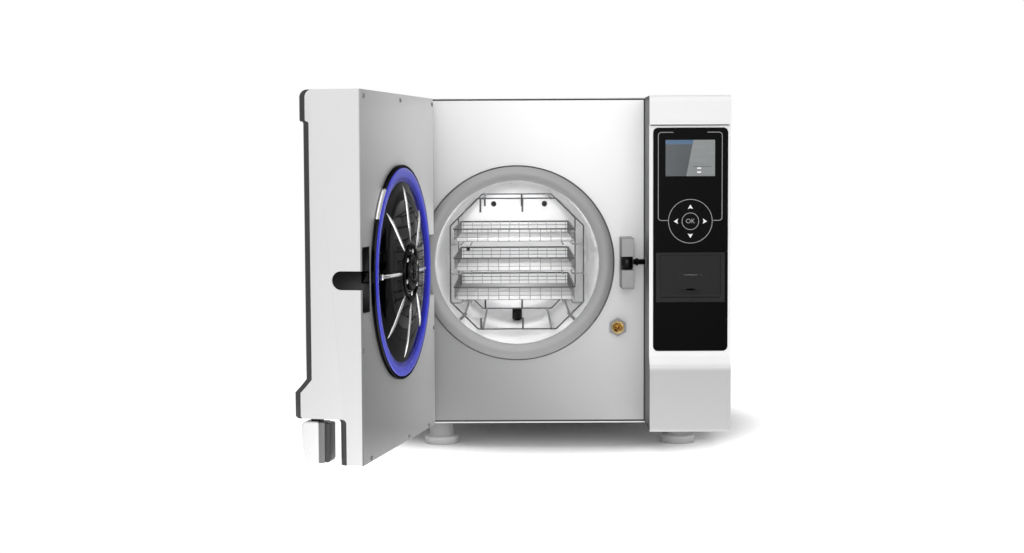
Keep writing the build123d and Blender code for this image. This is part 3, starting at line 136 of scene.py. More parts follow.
finishLooks = {
    "whiteEnamel": finishLook(shade(236), 0.34, grain=700, bump=0.06, spread=0.012),
    # the column's white enamel with painted shade: about half as bright on the lower block, below 0.127 m
    "columnEnamelPaintedShade": finishLook(shade(232), 0.34, grain=700, bump=0.06, spread=0.012,
        fade={"along": (0, 0, 1), "low": 0.127, "high": 0.141, "share": 0.53}),
    "doorEnamel": finishLook(shade(228), 0.36, grain=700, bump=0.06, spread=0.012),
    # dark grey: painted shade on the door's rounded front edge, painted shadow under the column's cap, and the
    # handle's dark liner
    "darkGreyAndPaintedShade": finishLook(shade(64), 0.42, grain=900, spread=0.05),
    # dark grey for painted shade on the column's side towards the door
    "sidePaintedShade": finishLook(shade(54), 0.4, grain=900, bump=0.08),
    # dark grey for the painted shadow in the gap round the front panel
    "gapPaintedShadow": finishLook(shade(52), 0.6, grain=900, spread=0.08),
    # the front panel's brushed sheet with painted shade: darker towards the lower left, lighter towards the upper
    # right
    "panelSteelPaintedShade": finishLook(shade(236), 0.42, metallic=0.3, grain=(6, 900, 900), bump=0.05, spread=0.02, cloud=3.0,
        grainShare=0.4, fade={"along": (1.15, 0, 1), "low": -0.12, "high": 0.6, "share": 0.3}),
    # the door's inner sheet with painted shade: darker towards the bottom and towards the free edge of the open door
    "innerSteelPaintedShade": finishLook(shade(236), 0.42, metallic=0.4, grain=(900, 900, 6), bump=0.05, spread=0.02, cloud=3.0,
        grainShare=0.4, fade={"along": (0, 1.0, 0.7), "low": -0.68, "high": 0.06, "share": 0.27}),
    "sheetSteel": finishLook(shade(200), 0.4, metallic=0.9, grain=(8, 700, 700), bump=0.08, spread=0.05, cloud=5.0),
    "polishedSteel": finishLook(shade(248), 0.34, metallic=0.4, roughSpread=0.08, grain=(60, 20, 60),
        bumpDepth=0.0004, spread=0.05, cloud=18.0),
    # one stainless wire in three tones standing in for light: painted shade, deeper painted shade on the front ring,
    # hangers and rims, and painted light on the trays' back walls and floors
    "wirePaintedShade": finishLook(shade(104), 0.3, metallic=0.4, grain=400, spread=0.1),
    "wirePaintedLight": finishLook(shade(186), 0.35, metallic=0.4, grain=400, spread=0.1),
    "wireDeepPaintedShade": finishLook(shade(66), 0.34, metallic=0.6, grain=400, spread=0.1),
    "satinSteel": finishLook(shade(142), 0.42, metallic=0.6, grain=240, spread=0.05, bump=0.12),
    "turnedSteel": finishLook(shade(150), 0.46, metallic=0.35, grain=180, spread=0.03, bump=0.06),
    # polished steel painted near black: a painted dark reflection on the lid's disc and hub
    "mirrorPaintedDarkReflection": finishLook(shade(38, (1, 1.02, 1.0)), 0.06, metallic=1.0, roughSpread=0.02, grain=90, bump=0.04,
        spread=0.08, cloud=30.0, edgeTint=0.6),
    # bright steel for the ribs, heads and stud, partly their own shine and partly painted highlight against the dark
    # disc; a painted highlight on the rim
    "steelAndPaintedHighlight": finishLook(shade(245), 0.16, metallic=1.0, grain=200, spread=0.03),
    # polished steel painted near black: a painted dark reflection on the lid's rim and the hub's ring
    "rimPaintedDarkReflection": finishLook(shade(50), 0.12, metallic=1.0, edgeTint=0.4, grain=200, spread=0.06),
    # dark steel for the pin, roller, bolt, hook and strainer, and painted shade on the pipework seen through the
    # chamber's ports
    "darkSteelAndPaintedShade": finishLook(shade(40), 0.28, metallic=0.8, spread=0.1),
    "gasketBlue": finishLook((0.02, 0.03, 0.58), 0.3, grain=500, spread=0.06, bump=0.05, coat=0.3,
        coatRoughness=0.25),
    # darker blue for painted shade on the gasket's inner wall
    "gasketPaintedShade": finishLook((0.008, 0.009, 0.3), 0.35, grain=500, spread=0.06, bump=0.05),
    "panelBlack": finishLook(shade(5), 0.34, grain=900, bump=0.02, spread=0.08, specular=0.05),
    "keyBlack": finishLook(shade(9), 0.38, specular=0.05, grain=1400, bump=0.06, spread=0.1),
    "printerBlack": finishLook(shade(32), 0.42, specular=0.16, grain=1600, bump=0.15, spread=0.1),
    "flapBlack": finishLook(shade(24, (1, 0.99, 0.95)), 0.38, specular=0.2, grain=1600, bump=0.12, spread=0.1),
    "linePaint": finishLook(shade(150), 0.5, grain=1200),
    "markPaint": finishLook(shade(235), 0.5, grain=1200, spread=0.03),
    "blackPlastic": finishLook(shade(22), 0.4, specular=0.25, grain=1200, bump=0.15, spread=0.1),
    "handleWhite": finishLook(shade(240), 0.28, grain=500, bump=0.03, spread=0.015),
    "handleGrey": finishLook(shade(125), 0.4, grain=900, spread=0.05),
    "footPlastic": finishLook(shade(196), 0.4, grain=800, spread=0.03),
    "brass": finishLook((0.55, 0.38, 0.16), 0.28, metallic=1.0, spread=0.1),
    "aluminium": finishLook(shade(190), 0.42, metallic=0.95, spread=0.06, bump=0.15),
    "insulationCloth": finishLook(shade(205, (1, 0.97, 0.88)), 0.9, grain=260, bump=0.5, spread=0.1),
    "heaterRubber": finishLook((0.42, 0.08, 0.04), 0.6, spread=0.1),
    "tankPlastic": finishLook(shade(222, (0.97, 0.99, 1)), 0.4, grain=200, spread=0.03),
    "boardGreen": finishLook((0.02, 0.12, 0.05), 0.45, grain=500, spread=0.3),
    "paperWhite": finishLook(shade(238), 0.85, grain=900, bump=0.2, spread=0.03),
    "screenDark": finishLook(shade(62, (0.85, 1.0, 1.1)), 0.2, grain=(1500, 60, 1500), spread=0.1, coat=0.6,
        glow=0.25),
    "screenBlue": finishLook(shade(88, (0.35, 0.9, 1.7)), 0.2, grain=(900, 60, 900), spread=0.15, coat=0.6,
        glow=0.25),
    "screenPale": finishLook(shade(120, (0.95, 1.0, 1.0)), 0.2, grain=(30, 60, 1200), spread=0.12, coat=0.6,
        glow=0.25),
    "screenLine": finishLook(shade(52, (0.9, 1, 1.1)), 0.3, grain=900, spread=0.1),
}
finishes = {name: makeFinish(name, look) for name, look in finishLooks.items()}
print("steriliser: finishes made", len(finishes))


# Mesh tools

def newPiece(name, mesh):
    piece = bpy.data.objects.new(name, mesh)
    bpy.context.scene.collection.objects.link(piece)
    return piece


def meshPiece(name, points, faces, edges=()):
    mesh = bpy.data.meshes.new(name)
    mesh.from_pydata([tuple(p) for p in points], list(edges), faces)
    mesh.update()
    return newPiece(name, mesh)


def tidyMesh(piece, worn=False):
    # joins doubles, turns every face outward and, if worn, drops the faces without an area
    shape = bmesh.new()
    shape.from_mesh(piece.data)
    bmesh.ops.remove_doubles(shape, verts=shape.verts, dist=1e-5)
    if worn:
        bmesh.ops.dissolve_degenerate(shape, edges=shape.edges, dist=1e-6)
    bmesh.ops.recalc_face_normals(shape, faces=shape.faces)
    shape.to_mesh(piece.data)
    shape.free()
    return piece


def applied(piece):
    # the evaluated shape becomes the piece's own plain mesh
    graph = bpy.context.evaluated_depsgraph_get()
    mesh = bpy.data.meshes.new_from_object(piece.evaluated_get(graph))
    mesh.name = piece.name
    piece.modifiers.clear()
    piece.data = mesh
    return piece


def prism(name, outline, along, low, high):
    # outline of (y, z), (x, z) or (x, y) points, run along X, Y or Z
    spot = {"X": 0, "Y": 1, "Z": 2}[along]
    count = len(outline)
    points = [(*p[:spot], level, *p[spot:]) for level in (low, high) for p in outline]
    faces = [list(range(count)), list(range(2 * count - 1, count - 1, -1))]
    faces += [[i, (i + 1) % count, count + (i + 1) % count, count + i] for i in range(count)]
    return tidyMesh(meshPiece(name, points, faces))


def slab(name, low, high):
    (x0, y0, z0), (x1, y1, z1) = low, high
    return prism(name, [(x0, y0), (x1, y0), (x1, y1), (x0, y1)], "Z", z0, z1)


def lathe(name, profile, middle=(0, 0), steps=128, along="Y"):
    # closed profile of (radius, place along the axis) points
    points, faces = [], []
    for step in range(steps):
        turn = 2 * pi * step / steps
        for radius, place in profile:
            a, b = middle[0] + radius * cos(turn), middle[1] + radius * sin(turn)
            points.append({"Y": (a, place, b), "X": (place, a, b)}[along])
    count = len(profile)
    for step in range(steps):
        after = (step + 1) % steps
        for i in range(count):
            j = (i + 1) % count
            faces.append([step * count + i, step * count + j, after * count + j, after * count + i])
    return tidyMesh(meshPiece(name, points, faces), worn=True)


def bevelEdges(piece, width, segments=3, angle=35):
    bevel = piece.modifiers.new("edgeRound", "BEVEL")
    bevel.width = width
    bevel.segments = segments
    bevel.limit_method = "ANGLE"
    bevel.angle_limit = radians(angle)
    return applied(piece)


def evenNormals(piece):
    # broad flat faces keep their own normal and the rounded edges take the whole turn
    even = piece.modifiers.new("evenNormals", "WEIGHTED_NORMAL")
    even.keep_sharp = True
    even.weight = 100
    return applied(piece)


def cutAway(piece, cutter):
    tool = piece.modifiers.new("opening", "BOOLEAN")
    tool.operation = "DIFFERENCE"
    tool.object = cutter
    tool.solver = "EXACT"
    applied(piece)
    bpy.data.objects.remove(cutter)
    return piece


def joined(name, pieces):
    # several pieces become one mesh and keep their own finishes
    shape = bmesh.new()
    looks = []
    for piece in pieces:
        for look in piece.data.materials:
            if look not in looks:
                looks.append(look)
        part = bmesh.new()
        part.from_mesh(piece.data)
        slots = [looks.index(look) for look in piece.data.materials] or [0]
        for face in part.faces:
            face.material_index = slots[min(face.material_index, len(slots) - 1)]
        mesh = bpy.data.meshes.new("part")
        part.to_mesh(mesh)
        part.free()
        shape.from_mesh(mesh)
        bpy.data.meshes.remove(mesh)
        bpy.data.objects.remove(piece)
    mesh = bpy.data.meshes.new(name)
    shape.to_mesh(mesh)
    shape.free()
    for look in looks:
        mesh.materials.append(look)
    return newPiece(name, mesh)


def coat(piece, finish):
    piece.data.materials.clear()
    piece.data.materials.append(finishes[finish])
    return piece


def paintFaces(piece, finish, chosen):
    # a further finish on the faces whose middle and direction the test picks
    mesh = piece.data
    mesh.materials.append(finishes[finish])
    for face in mesh.polygons:
        if chosen(face.center, face.normal):
            face.material_index = len(mesh.materials) - 1


def settle(piece, body, replaced, smooth, even=False):
    # shades a finished piece and gives it to its body and the nodes that it stands for
    piece.data.shade_smooth()
    piece.data.set_sharp_from_angle(angle=radians(smooth))
    if even:
        evenNormals(piece)
    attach(piece, body)
    if replaced:
        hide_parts(*replaced)


def mount(piece, body, replaced=(), smooth=32):
    piece.data.transform(doorToFrame if body in ("door", "door_handle") else toFrame)
    settle(piece, body, replaced, smooth)


refining = {"doubles": 2e-6, "flat": 0.5, "bevelSteps": 2, "bevelAngle": 40, "smooth": 32,
            "sheets": ("sheetSteel", "innerSteelPaintedShade")}


def refined(node, finish, body, bevel):
    # a copy of a part with its facets joined, smooth curves and softened edges
    mesh = bpy.data.objects[node].data.copy()
    piece = newPiece(node + "_surface", mesh)
    shape = bmesh.new()
    shape.from_mesh(mesh)
    bmesh.ops.remove_doubles(shape, verts=shape.verts, dist=refining["doubles"])
    if bevel:
        bmesh.ops.dissolve_limit(shape, angle_limit=radians(refining["flat"]), verts=shape.verts, edges=shape.edges)
    shape.to_mesh(mesh)
    shape.free()
    if bevel:
        bevelEdges(piece, bevel / 1000, refining["bevelSteps"], refining["bevelAngle"])
    coat(piece, finish)
    settle(piece, body, [node], refining["smooth"], bevel > 0 or finish in refining["sheets"])


# Geometry Nodes trees

def newTree(name, inputs):
    tree = bpy.data.node_groups.new(name, "GeometryNodeTree")
    tree.interface.new_socket("Geometry", in_out="INPUT", socket_type="NodeSocketGeometry")
    for label, kind in inputs:
        tree.interface.new_socket(label, in_out="INPUT", socket_type=kind)
    tree.interface.new_socket("Geometry", in_out="OUTPUT", socket_type="NodeSocketGeometry")
    return tree, tree.nodes.new("NodeGroupInput"), tree.nodes.new("NodeGroupOutput")


def endTree(tree, source, last, result, output):
    realize = tree.nodes.new("GeometryNodeRealizeInstances")
    paint = tree.nodes.new("GeometryNodeSetMaterial")
    linkAll(tree, (last, result, realize, "Geometry"), (realize, "Geometry", paint, "Geometry"),
            (source, "Finish", paint, "Material"), (paint, "Geometry", output, "Geometry"))
    return tree


def wireRowTree():
    tree, source, output = newTree("wireRow", (
        ("Start", "NodeSocketVector"), ("End", "NodeSocketVector"), ("Step", "NodeSocketVector"),
        ("Count", "NodeSocketInt"), ("Radius", "NodeSocketFloat"), ("Sides", "NodeSocketInt"),
        ("Finish", "NodeSocketMaterial")))
    line = tree.nodes.new("GeometryNodeCurvePrimitiveLine")
    ring = tree.nodes.new("GeometryNodeCurvePrimitiveCircle")
    tube = setInputs(tree.nodes.new("GeometryNodeCurveToMesh"), {"Fill Caps": True})
    row = tree.nodes.new("GeometryNodeMeshLine")
    row.mode = "OFFSET"
    spots = tree.nodes.new("GeometryNodeInstanceOnPoints")
    linkAll(tree, (source, "Start", line, "Start"), (source, "End", line, "End"),
            (source, "Sides", ring, "Resolution"), (source, "Radius", ring, "Radius"),
            (line, "Curve", tube, "Curve"), (ring, "Curve", tube, "Profile Curve"),
            (source, "Count", row, "Count"), (source, "Step", row, "Offset"), (row, "Mesh", spots, "Points"),
            (tube, "Mesh", spots, "Instance"))
    return endTree(tree, source, spots, "Instances", output)


def wirePathTree():
    tree, source, output = newTree("wirePath", (
        ("Radius", "NodeSocketFloat"), ("Sides", "NodeSocketInt"), ("Bend", "NodeSocketFloat"),
        ("Finish", "NodeSocketMaterial")))
    path = tree.nodes.new("GeometryNodeMeshToCurve")
    bend = tree.nodes.new("GeometryNodeFilletCurve")
    ring = tree.nodes.new("GeometryNodeCurvePrimitiveCircle")
    tube = setInputs(tree.nodes.new("GeometryNodeCurveToMesh"), {"Fill Caps": True})
    if "Mode" in bend.inputs:
        bend.inputs["Mode"].default_value = "Poly"
    else:
        bend.mode = "POLY"
    setInputs(bend, {"Count": 5, "Limit Radius": True})
    linkAll(tree, (source, "Geometry", path, "Mesh"), (path, "Curve", bend, "Curve"),
            (source, "Bend", bend, "Radius"), (source, "Sides", ring, "Resolution"),
            (source, "Radius", ring, "Radius"), (bend, "Curve", tube, "Curve"),
            (ring, "Curve", tube, "Profile Curve"))
    return endTree(tree, source, tube, "Mesh", output)


def turnedRowTree():
    tree, source, output = newTree("turnedRow", (
        ("Count", "NodeSocketInt"), ("Phase", "NodeSocketFloat"), ("Finish", "NodeSocketMaterial")))
    row = setInputs(tree.nodes.new("GeometryNodeMeshLine"), {"Offset": (0, 0, 0)})
    row.mode = "OFFSET"
    index = tree.nodes.new("GeometryNodeInputIndex")
    share = tree.nodes.new("ShaderNodeMath")
    share.operation = "DIVIDE"
    turn = tree.nodes.new("ShaderNodeMath")
    turn.operation = "MULTIPLY_ADD"
    turn.inputs[1].default_value = 2 * pi
    angles = tree.nodes.new("ShaderNodeCombineXYZ")
    rotation = tree.nodes.new("FunctionNodeEulerToRotation")
    spots = tree.nodes.new("GeometryNodeInstanceOnPoints")
    linkAll(tree, (source, "Count", row, "Count"), (index, "Index", share, 0), (source, "Count", share, 1),
            (share, "Value", turn, 0), (source, "Phase", turn, 2), (turn, "Value", angles, "Y"),
            (angles, "Vector", rotation, "Euler"), (row, "Mesh", spots, "Points"),
            (source, "Geometry", spots, "Instance"), (rotation, "Rotation", spots, "Rotation"))
    return endTree(tree, source, spots, "Instances", output)


trees = {"wireRow": wireRowTree(), "wirePath": wirePathTree(), "turnedRow": turnedRowTree()}


def grown(piece, treeName, settings):
    tree = trees[treeName]
    modifier = piece.modifiers.new(treeName, "NODES")
    modifier.node_group = tree
    for item in tree.interface.items_tree:
        if item.in_out == "INPUT" and item.name in settings:
            modifier[item.identifier] = settings[item.name]
    return applied(piece)


def wireRow(name, start, end, step, count, radius, finish, sides=6):
    piece = meshPiece(name, [], [])
    return grown(piece, "wireRow", {"Start": Vector(start), "End": Vector(end), "Step": Vector(step), "Count": count,
                                    "Radius": radius, "Sides": sides, "Finish": finishes[finish]})


def rod(name, start, end, radius, finish, sides=8):
    return wireRow(name, start, end, (0, 0, 0), 1, radius, finish, sides)


def wirePath(name, points, radius, finish, closed=False, bend=0.0, sides=10):
    count = len(points)
    edges = [(i, i + 1) for i in range(count - 1)] + ([(count - 1, 0)] if closed else [])
    piece = meshPiece(name, points, [], edges)
    return grown(piece, "wirePath", {"Radius": radius, "Sides": sides, "Bend": bend, "Finish": finishes[finish]})


def turnedRow(name, piece, count, finish, phase=0.0):
    piece.name = name
    return grown(piece, "turnedRow", {"Count": count, "Phase": phase, "Finish": finishes[finish]})


# Door shell, drawn shut

doorShell = {
    "half": 189.1, "back": -15.5, "top": 245.5, "bottom": -240, "front": -92, "cap": -97, "capBottom": 204.5,
    "capRound": 10, "chinStart": -131.5, "chin": -107.5, "chinEdge": -146.5, "chinUnder": -180, "low": -46,
    "lowRound": 6, "wall": 2.6, "edgeInset": 9.4,
    "edgeSteps": ((0.0, 1.0), (0.9, 0.62), (2.6, 0.3), (5.2, 0.08), (7.0, 0.0)),
    "slotFront": -54, "slotHalf": 12.2, "slotDeep": 9, "notchRight": -150.5, "notchHalf": 45, "notchFront": -73,
    "tang": (165.6, 183.6, -92, -66), "past": 5, "frontFrom": -20, "soft": 2.5, "ease": 2, "lip": 1.5,
    "slope": (8, 6.5), "bend": (3, 1),
}


def arcPoints(middle, radius, start, end, steps=6):
    return [(middle[0] + radius * cos(radians(start + (end - start) * i / steps)),
             middle[1] + radius * sin(radians(start + (end - start) * i / steps))) for i in range(steps + 1)]


def doorOutline(d):
    # front line of the door from its bottom to its top, as y and z points
    line = [(d["back"], d["bottom"]), (d["low"], d["bottom"])]
    line += arcPoints((d["low"] - d["lowRound"], d["chinUnder"] - d["lowRound"]), d["lowRound"], 0, 90, 5)
    soft, lip, (slopeBack, slopeDrop), (bendOut, bendDrop) = d["soft"], d["lip"], d["slope"], d["bend"]
    line += [(d["chin"] + soft, d["chinUnder"]), (d["chin"], d["chinUnder"] + soft), (d["chin"], d["chinEdge"]),
             (d["chin"] + slopeBack, d["chinStart"] - slopeDrop), (d["front"] - bendOut, d["chinStart"] - bendDrop),
             (d["front"], d["chinStart"] + soft), (d["front"], d["capBottom"] - d["ease"]),
             (d["front"] - lip, d["capBottom"]), (d["cap"] + lip, d["capBottom"]), (d["cap"], d["capBottom"] + lip)]
    line += arcPoints((d["cap"] + d["capRound"], d["top"] - d["capRound"]), d["capRound"], 180, 90, 8)
    line += [(d["back"], d["top"])]
    return line


def makeDoorShell(d):
    line = doorOutline(d)
    count = len(line)
    sections = []
    for side, steps in ((-1, d["edgeSteps"]), (1, tuple(reversed(d["edgeSteps"])))):
        for inward, share in steps:
            x = side * (d["half"] - inward)
            sections.append((x, [(y + (d["edgeInset"] * share if y < d["frontFrom"] else 0), z) for y, z in line]))
    points = [(x, y, z) for x, row in sections for y, z in row]
    faces, looks = [], []
    for s in range(len(sections) - 1):
        for i in range(count - 1):
            a = s * count + i
            faces.append([a, a + 1, a + count + 1, a + count])
            # the rounded front edge of the shell takes the dark grey of painted shade
            inEdge = s < len(d["edgeSteps"]) - 1 or s >= len(d["edgeSteps"])
            isFront = max(line[i][0], line[i + 1][0]) < d["frontFrom"] and line[i][1] < d["top"] - 0.5
            looks.append(1 if inEdge and isFront else 0)
    last = (len(sections) - 1) * count
    faces += [list(range(count)), [last + i for i in range(count)]]
    looks += [0, 0]
    shell = meshPiece("doorShell", points, faces)
    shell.data.materials.append(finishes["doorEnamel"])
    shell.data.materials.append(finishes["darkGreyAndPaintedShade"])
    for face, look in zip(shell.data.polygons, looks):
        face.material_index = look
    shape = bmesh.new()
    shape.from_mesh(shell.data)
    bmesh.ops.remove_doubles(shape, verts=shape.verts, dist=1e-4)
    bmesh.ops.recalc_face_normals(shape, faces=shape.faces)
    # the open back makes the turn of the faces a guess, so it is tested on one side face
    side = max(shape.faces, key=lambda face: face.calc_center_median().x)
    if side.normal.x < 0:
        bmesh.ops.reverse_faces(shape, faces=shape.faces)
    shape.to_mesh(shell.data)
    shape.free()
    wall = shell.modifiers.new("wall", "SOLIDIFY")
    wall.thickness = d["wall"]
    wall.offset = -1
    applied(shell)
    past, half, slotHalf = d["past"], d["half"], d["slotHalf"]
    slot = arcPoints((d["slotFront"] + slotHalf, 0), slotHalf, 90, 270, 20) + [(past, -slotHalf), (past, slotHalf)]
    cutAway(shell, prism("slotCut", slot, "X", half - d["slotDeep"], half + past))
    cutAway(shell, slab("notchCut", (-half - past, d["notchFront"], -d["notchHalf"]),
                        (d["notchRight"], past, d["notchHalf"])))
    left, right, front, back = d["tang"]
    cutAway(shell, slab("tangCut", (left, front, d["chinUnder"] - past), (right, back, d["chinUnder"] + past)))
    mount(shell, "door", ["door_cover"], smooth=28)


makeDoorShell(doorShell)


# Pressure lid, gasket and hub

lidShape = {
    "profile": ((0, -19), (30, -19), (30, -4), (46, -2), (112, -11), (120, -13.7), (147.2, -13.7), (148.5, -12.8),
                (148.5, -11.6), (147.0, -11.0), (148.5, -10.4), (148.5, -9.0), (147.4, -8), (144.9, -8),
                (144.9, -11.2), (130.6, -11.2), (130.6, -10.9), (127, -10.8), (121, -10.2), (114, -8.0), (96, -4.6),
                (60, -0.9), (48, 0.4), (41, 1.0), (36, 0.6), (33, 1.0), (0, 1.0)),
    "gasket": ((144.4, -11), (144.4, -8.4), (143.4, -7.2), (141.2, -6.7), (134.6, -6.7), (132.2, -7.3), (131.1, -8.6),
               (125.6, -10.1), (125.2, -10.5), (131.1, -11)),
    "faceStart": 13, "faceEdge": 131, "rimFrom": 128, "paintedShadeWithin": 131.6, "turns": 160,
    # the stretch of the rim with a painted highlight: its least radius, its front and its slope as z over x
    "paintedHighlightFrom": 146, "paintedHighlightFront": -13.2, "paintedHighlightSlope": (0.62, 1.28),
    "ribs": 8, "ribInner": 41, "ribOuter": 121, "ribWide": 2.8, "ribHigh": 2.604, "ribSink": 0.6, "ribEnds": 4.5,
    "ribTip": 0.08, "ribSides": 10, "ribSteps": 18,
    "ring": ((34.5, 0.6), (38.5, 0.6), (38.5, 2.2), (37.6, 3.0), (35.4, 3.0), (34.5, 2.2)),
    "head": ((0, 0.9), (3.2, 0.9), (3.2, 3.2), (2.6, 3.8), (1.2, 3.8), (1.2, 3.0), (0, 3.0)),
    "heads": 6, "headFrom": 29.5, "headTurn": 0.4,
    "stud": ((0, -10), (4.2, -10), (4.2, -6.8), (3.0, -5.6), (0, -5.6)), "studFrom": 115,
    "hub": ((0, 1.1), (25, 1.1), (25, 3.4), (23.4, 5.0), (16.5, 5.4), (15.5, 3.6), (12.5, 3.6), (11.5, 6.6),
            (9.0, 7.6), (4, 7.6), (3.2, 6.8), (0, 6.8)),
}


def fromAxis(place):
    return (place.x ** 2 + place.z ** 2) ** 0.5


def lidFace(d, radius):
    # how far forward the dished face is at a radius
    rows = [p for p in d["profile"][d["faceStart"]:] if p[0] <= d["faceEdge"]]
    for (r0, y0), (r1, y1) in zip(rows, rows[1:]):
        if r1 <= radius <= r0:
            return y1 + (y0 - y1) * (radius - r1) / max(r0 - r1, 1e-6)
    return rows[-1][1]


def oneRib(d):
    # a rounded bar that follows the dished face and thins at both ends
    points, faces, sides, steps = [], [], d["ribSides"], d["ribSteps"]
    for step in range(steps + 1):
        share = step / steps
        radius = d["ribInner"] + (d["ribOuter"] - d["ribInner"]) * share
        swell = min(1, d["ribEnds"] * min(share, 1 - share)) ** 0.5 if 0 < share < 1 else d["ribTip"]
        face = lidFace(d, radius) - d["ribSink"]
        for side in range(sides):
            turn = 2 * pi * side / sides
            points.append((radius, face + d["ribHigh"] * swell * sin(turn), d["ribWide"] * swell * cos(turn)))
    for a in range(steps * sides):
        b = a + 1 if (a + 1) % sides else a + 1 - sides
        faces.append([a, b, b + sides, a + sides])
    faces += [list(range(sides)), [steps * sides + i for i in range(sides)]]
    return tidyMesh(meshPiece("oneRib", points, faces))


def makeLid(d):
    lid = coat(lathe("lidDisc", d["profile"], steps=d["turns"]), "mirrorPaintedDarkReflection")
    # the rim takes the painted dark reflection
    paintFaces(lid, "rimPaintedDarkReflection", lambda middle, facing: fromAxis(middle) > d["rimFrom"])
    # a painted highlight on the upper stretch of the rim
    low, high = d["paintedHighlightSlope"]
    paintFaces(lid, "steelAndPaintedHighlight", lambda middle, facing: middle.x > 0 and low < middle.z / middle.x < high
               and middle.y > d["paintedHighlightFront"] and fromAxis(middle) > d["paintedHighlightFrom"])
    mount(lid, "door", ["pressure_lid"])
    gasket = coat(lathe("lidGasket", d["gasket"], steps=d["turns"]), "gasketBlue")
    # painted shade on the gasket's inner wall
    paintFaces(gasket, "gasketPaintedShade", lambda middle, facing: fromAxis(middle) < d["paintedShadeWithin"])
    mount(gasket, "door", ["lid_gasket"], smooth=60)
    ribs = turnedRow("lidRibs", oneRib(d), d["ribs"], "steelAndPaintedHighlight")
    mount(ribs, "door", smooth=60)
    hub = coat(lathe("lidHub", d["hub"], steps=72), "mirrorPaintedDarkReflection")
    mount(hub, "door", ["lid_hub"], smooth=40)
    head = lathe("oneHead", d["head"], middle=(d["headFrom"], 0), steps=16)
    pieces = [coat(lathe("hubRing", d["ring"], steps=96), "rimPaintedDarkReflection"),
              turnedRow("hubHeads", head, d["heads"], "steelAndPaintedHighlight", phase=d["headTurn"]),
              coat(lathe("rimStud", d["stud"], middle=(d["studFrom"], 0), steps=24), "steelAndPaintedHighlight")]
    mount(joined("lidFixings", pieces), "door", smooth=40)


makeLid(lidShape)
print("steriliser: door and lid made")


# Pull handle, drawn shut

handleShape = {
    "left": 160.6, "right": 188.6,
    "grip": ((-74.5, -184.4), (-94.0, -183.8), (-98.6, -188.5), (-97.0, -214), (-94.6, -232), (-91.5, -238.4),
             (-74.5, -238.8)),
    "band": ((-66.6, -185.2), (-74.5, -184.8), (-74.5, -238.6), (-66.6, -237.4)),
    "liner": ((-59.5, -186.4), (-66.6, -185.4), (-66.6, -237.0), (-62.4, -237.4), (-59.5, -234)),
    "bandInset": 0.8, "linerInset": 1.6, "gripRound": 3.0, "bandRound": 0.7, "linerRound": 1.4,
    "tang": (166.6, 182.6, -86.2, -73.8), "low": -185.5, "pin": (-80, -169), "hole": 2.55, "boss": (2.6, 6.3),
}


def makeHandle(d):
    def layer(part, inset, *rounding):
        outline = prism("handle" + part.title(), d[part], "X", d["left"] + inset, d["right"] - inset)
        return bevelEdges(outline, *rounding)

    grip = coat(layer("grip", 0, d["gripRound"], 5, 25), "handleWhite")
    band = coat(layer("band", d["bandInset"], d["bandRound"], 2), "handleGrey")
    liner = coat(layer("liner", d["linerInset"], d["linerRound"], 3), "darkGreyAndPaintedShade")
    left, right, front, back = d["tang"]
    tang = coat(slab("handleTang", (left, front, d["low"]), (right, back, d["pin"][1])), "blackPlastic")
    inner, outer = d["boss"]
    boss = coat(lathe("handleBoss", [(inner, left), (outer, left), (outer, right), (inner, right)],
                      middle=d["pin"], steps=32, along="X"), "blackPlastic")
    cutAway(tang, lathe("pinCut", [(0, left - 1), (d["hole"], left - 1), (d["hole"], right + 1), (0, right + 1)],
                        middle=d["pin"], steps=24, along="X"))
    handle = joined("doorHandleShape", [grip, band, liner, tang, boss])
    mount(handle, "door_handle", ["door_handle"], smooth=35)


makeHandle(handleShape)


# Wire rack and trays

rackShape = {
    "half": 100.8, "top": 96.8, "bottom": -101.3, "corner": 41.5, "front": 21.3, "back": 408, "wire": 1.15,
    "hangers": (-55, 8.6), "hangerLong": 21, "hangerWire": 1.5, "standTall": 17, "standWire": 1.4,
    "cornerOver": (2.5, 1.5), "rodWire": 1.7, "rodX": 52, "levels": (-61.5, -17.2, 27.1),
    "runnerX": 84, "runnerWire": 1.2, "innerX": 70, "innerWire": 1.3, "crossWire": 1.5,
    "feet": (45, 135), "footFrom": 109, "footTo": 122.9, "footWire": 2.2,
}


def octagonPath(d, y):
    h, t, b, c = d["half"], d["top"], d["bottom"], d["corner"]
    return [(c - h, y, t), (h - c, y, t), (h, y, t - c), (h, y, b + c), (h - c, y, b), (c - h, y, b), (-h, y, b + c),
            (-h, y, t - c)]


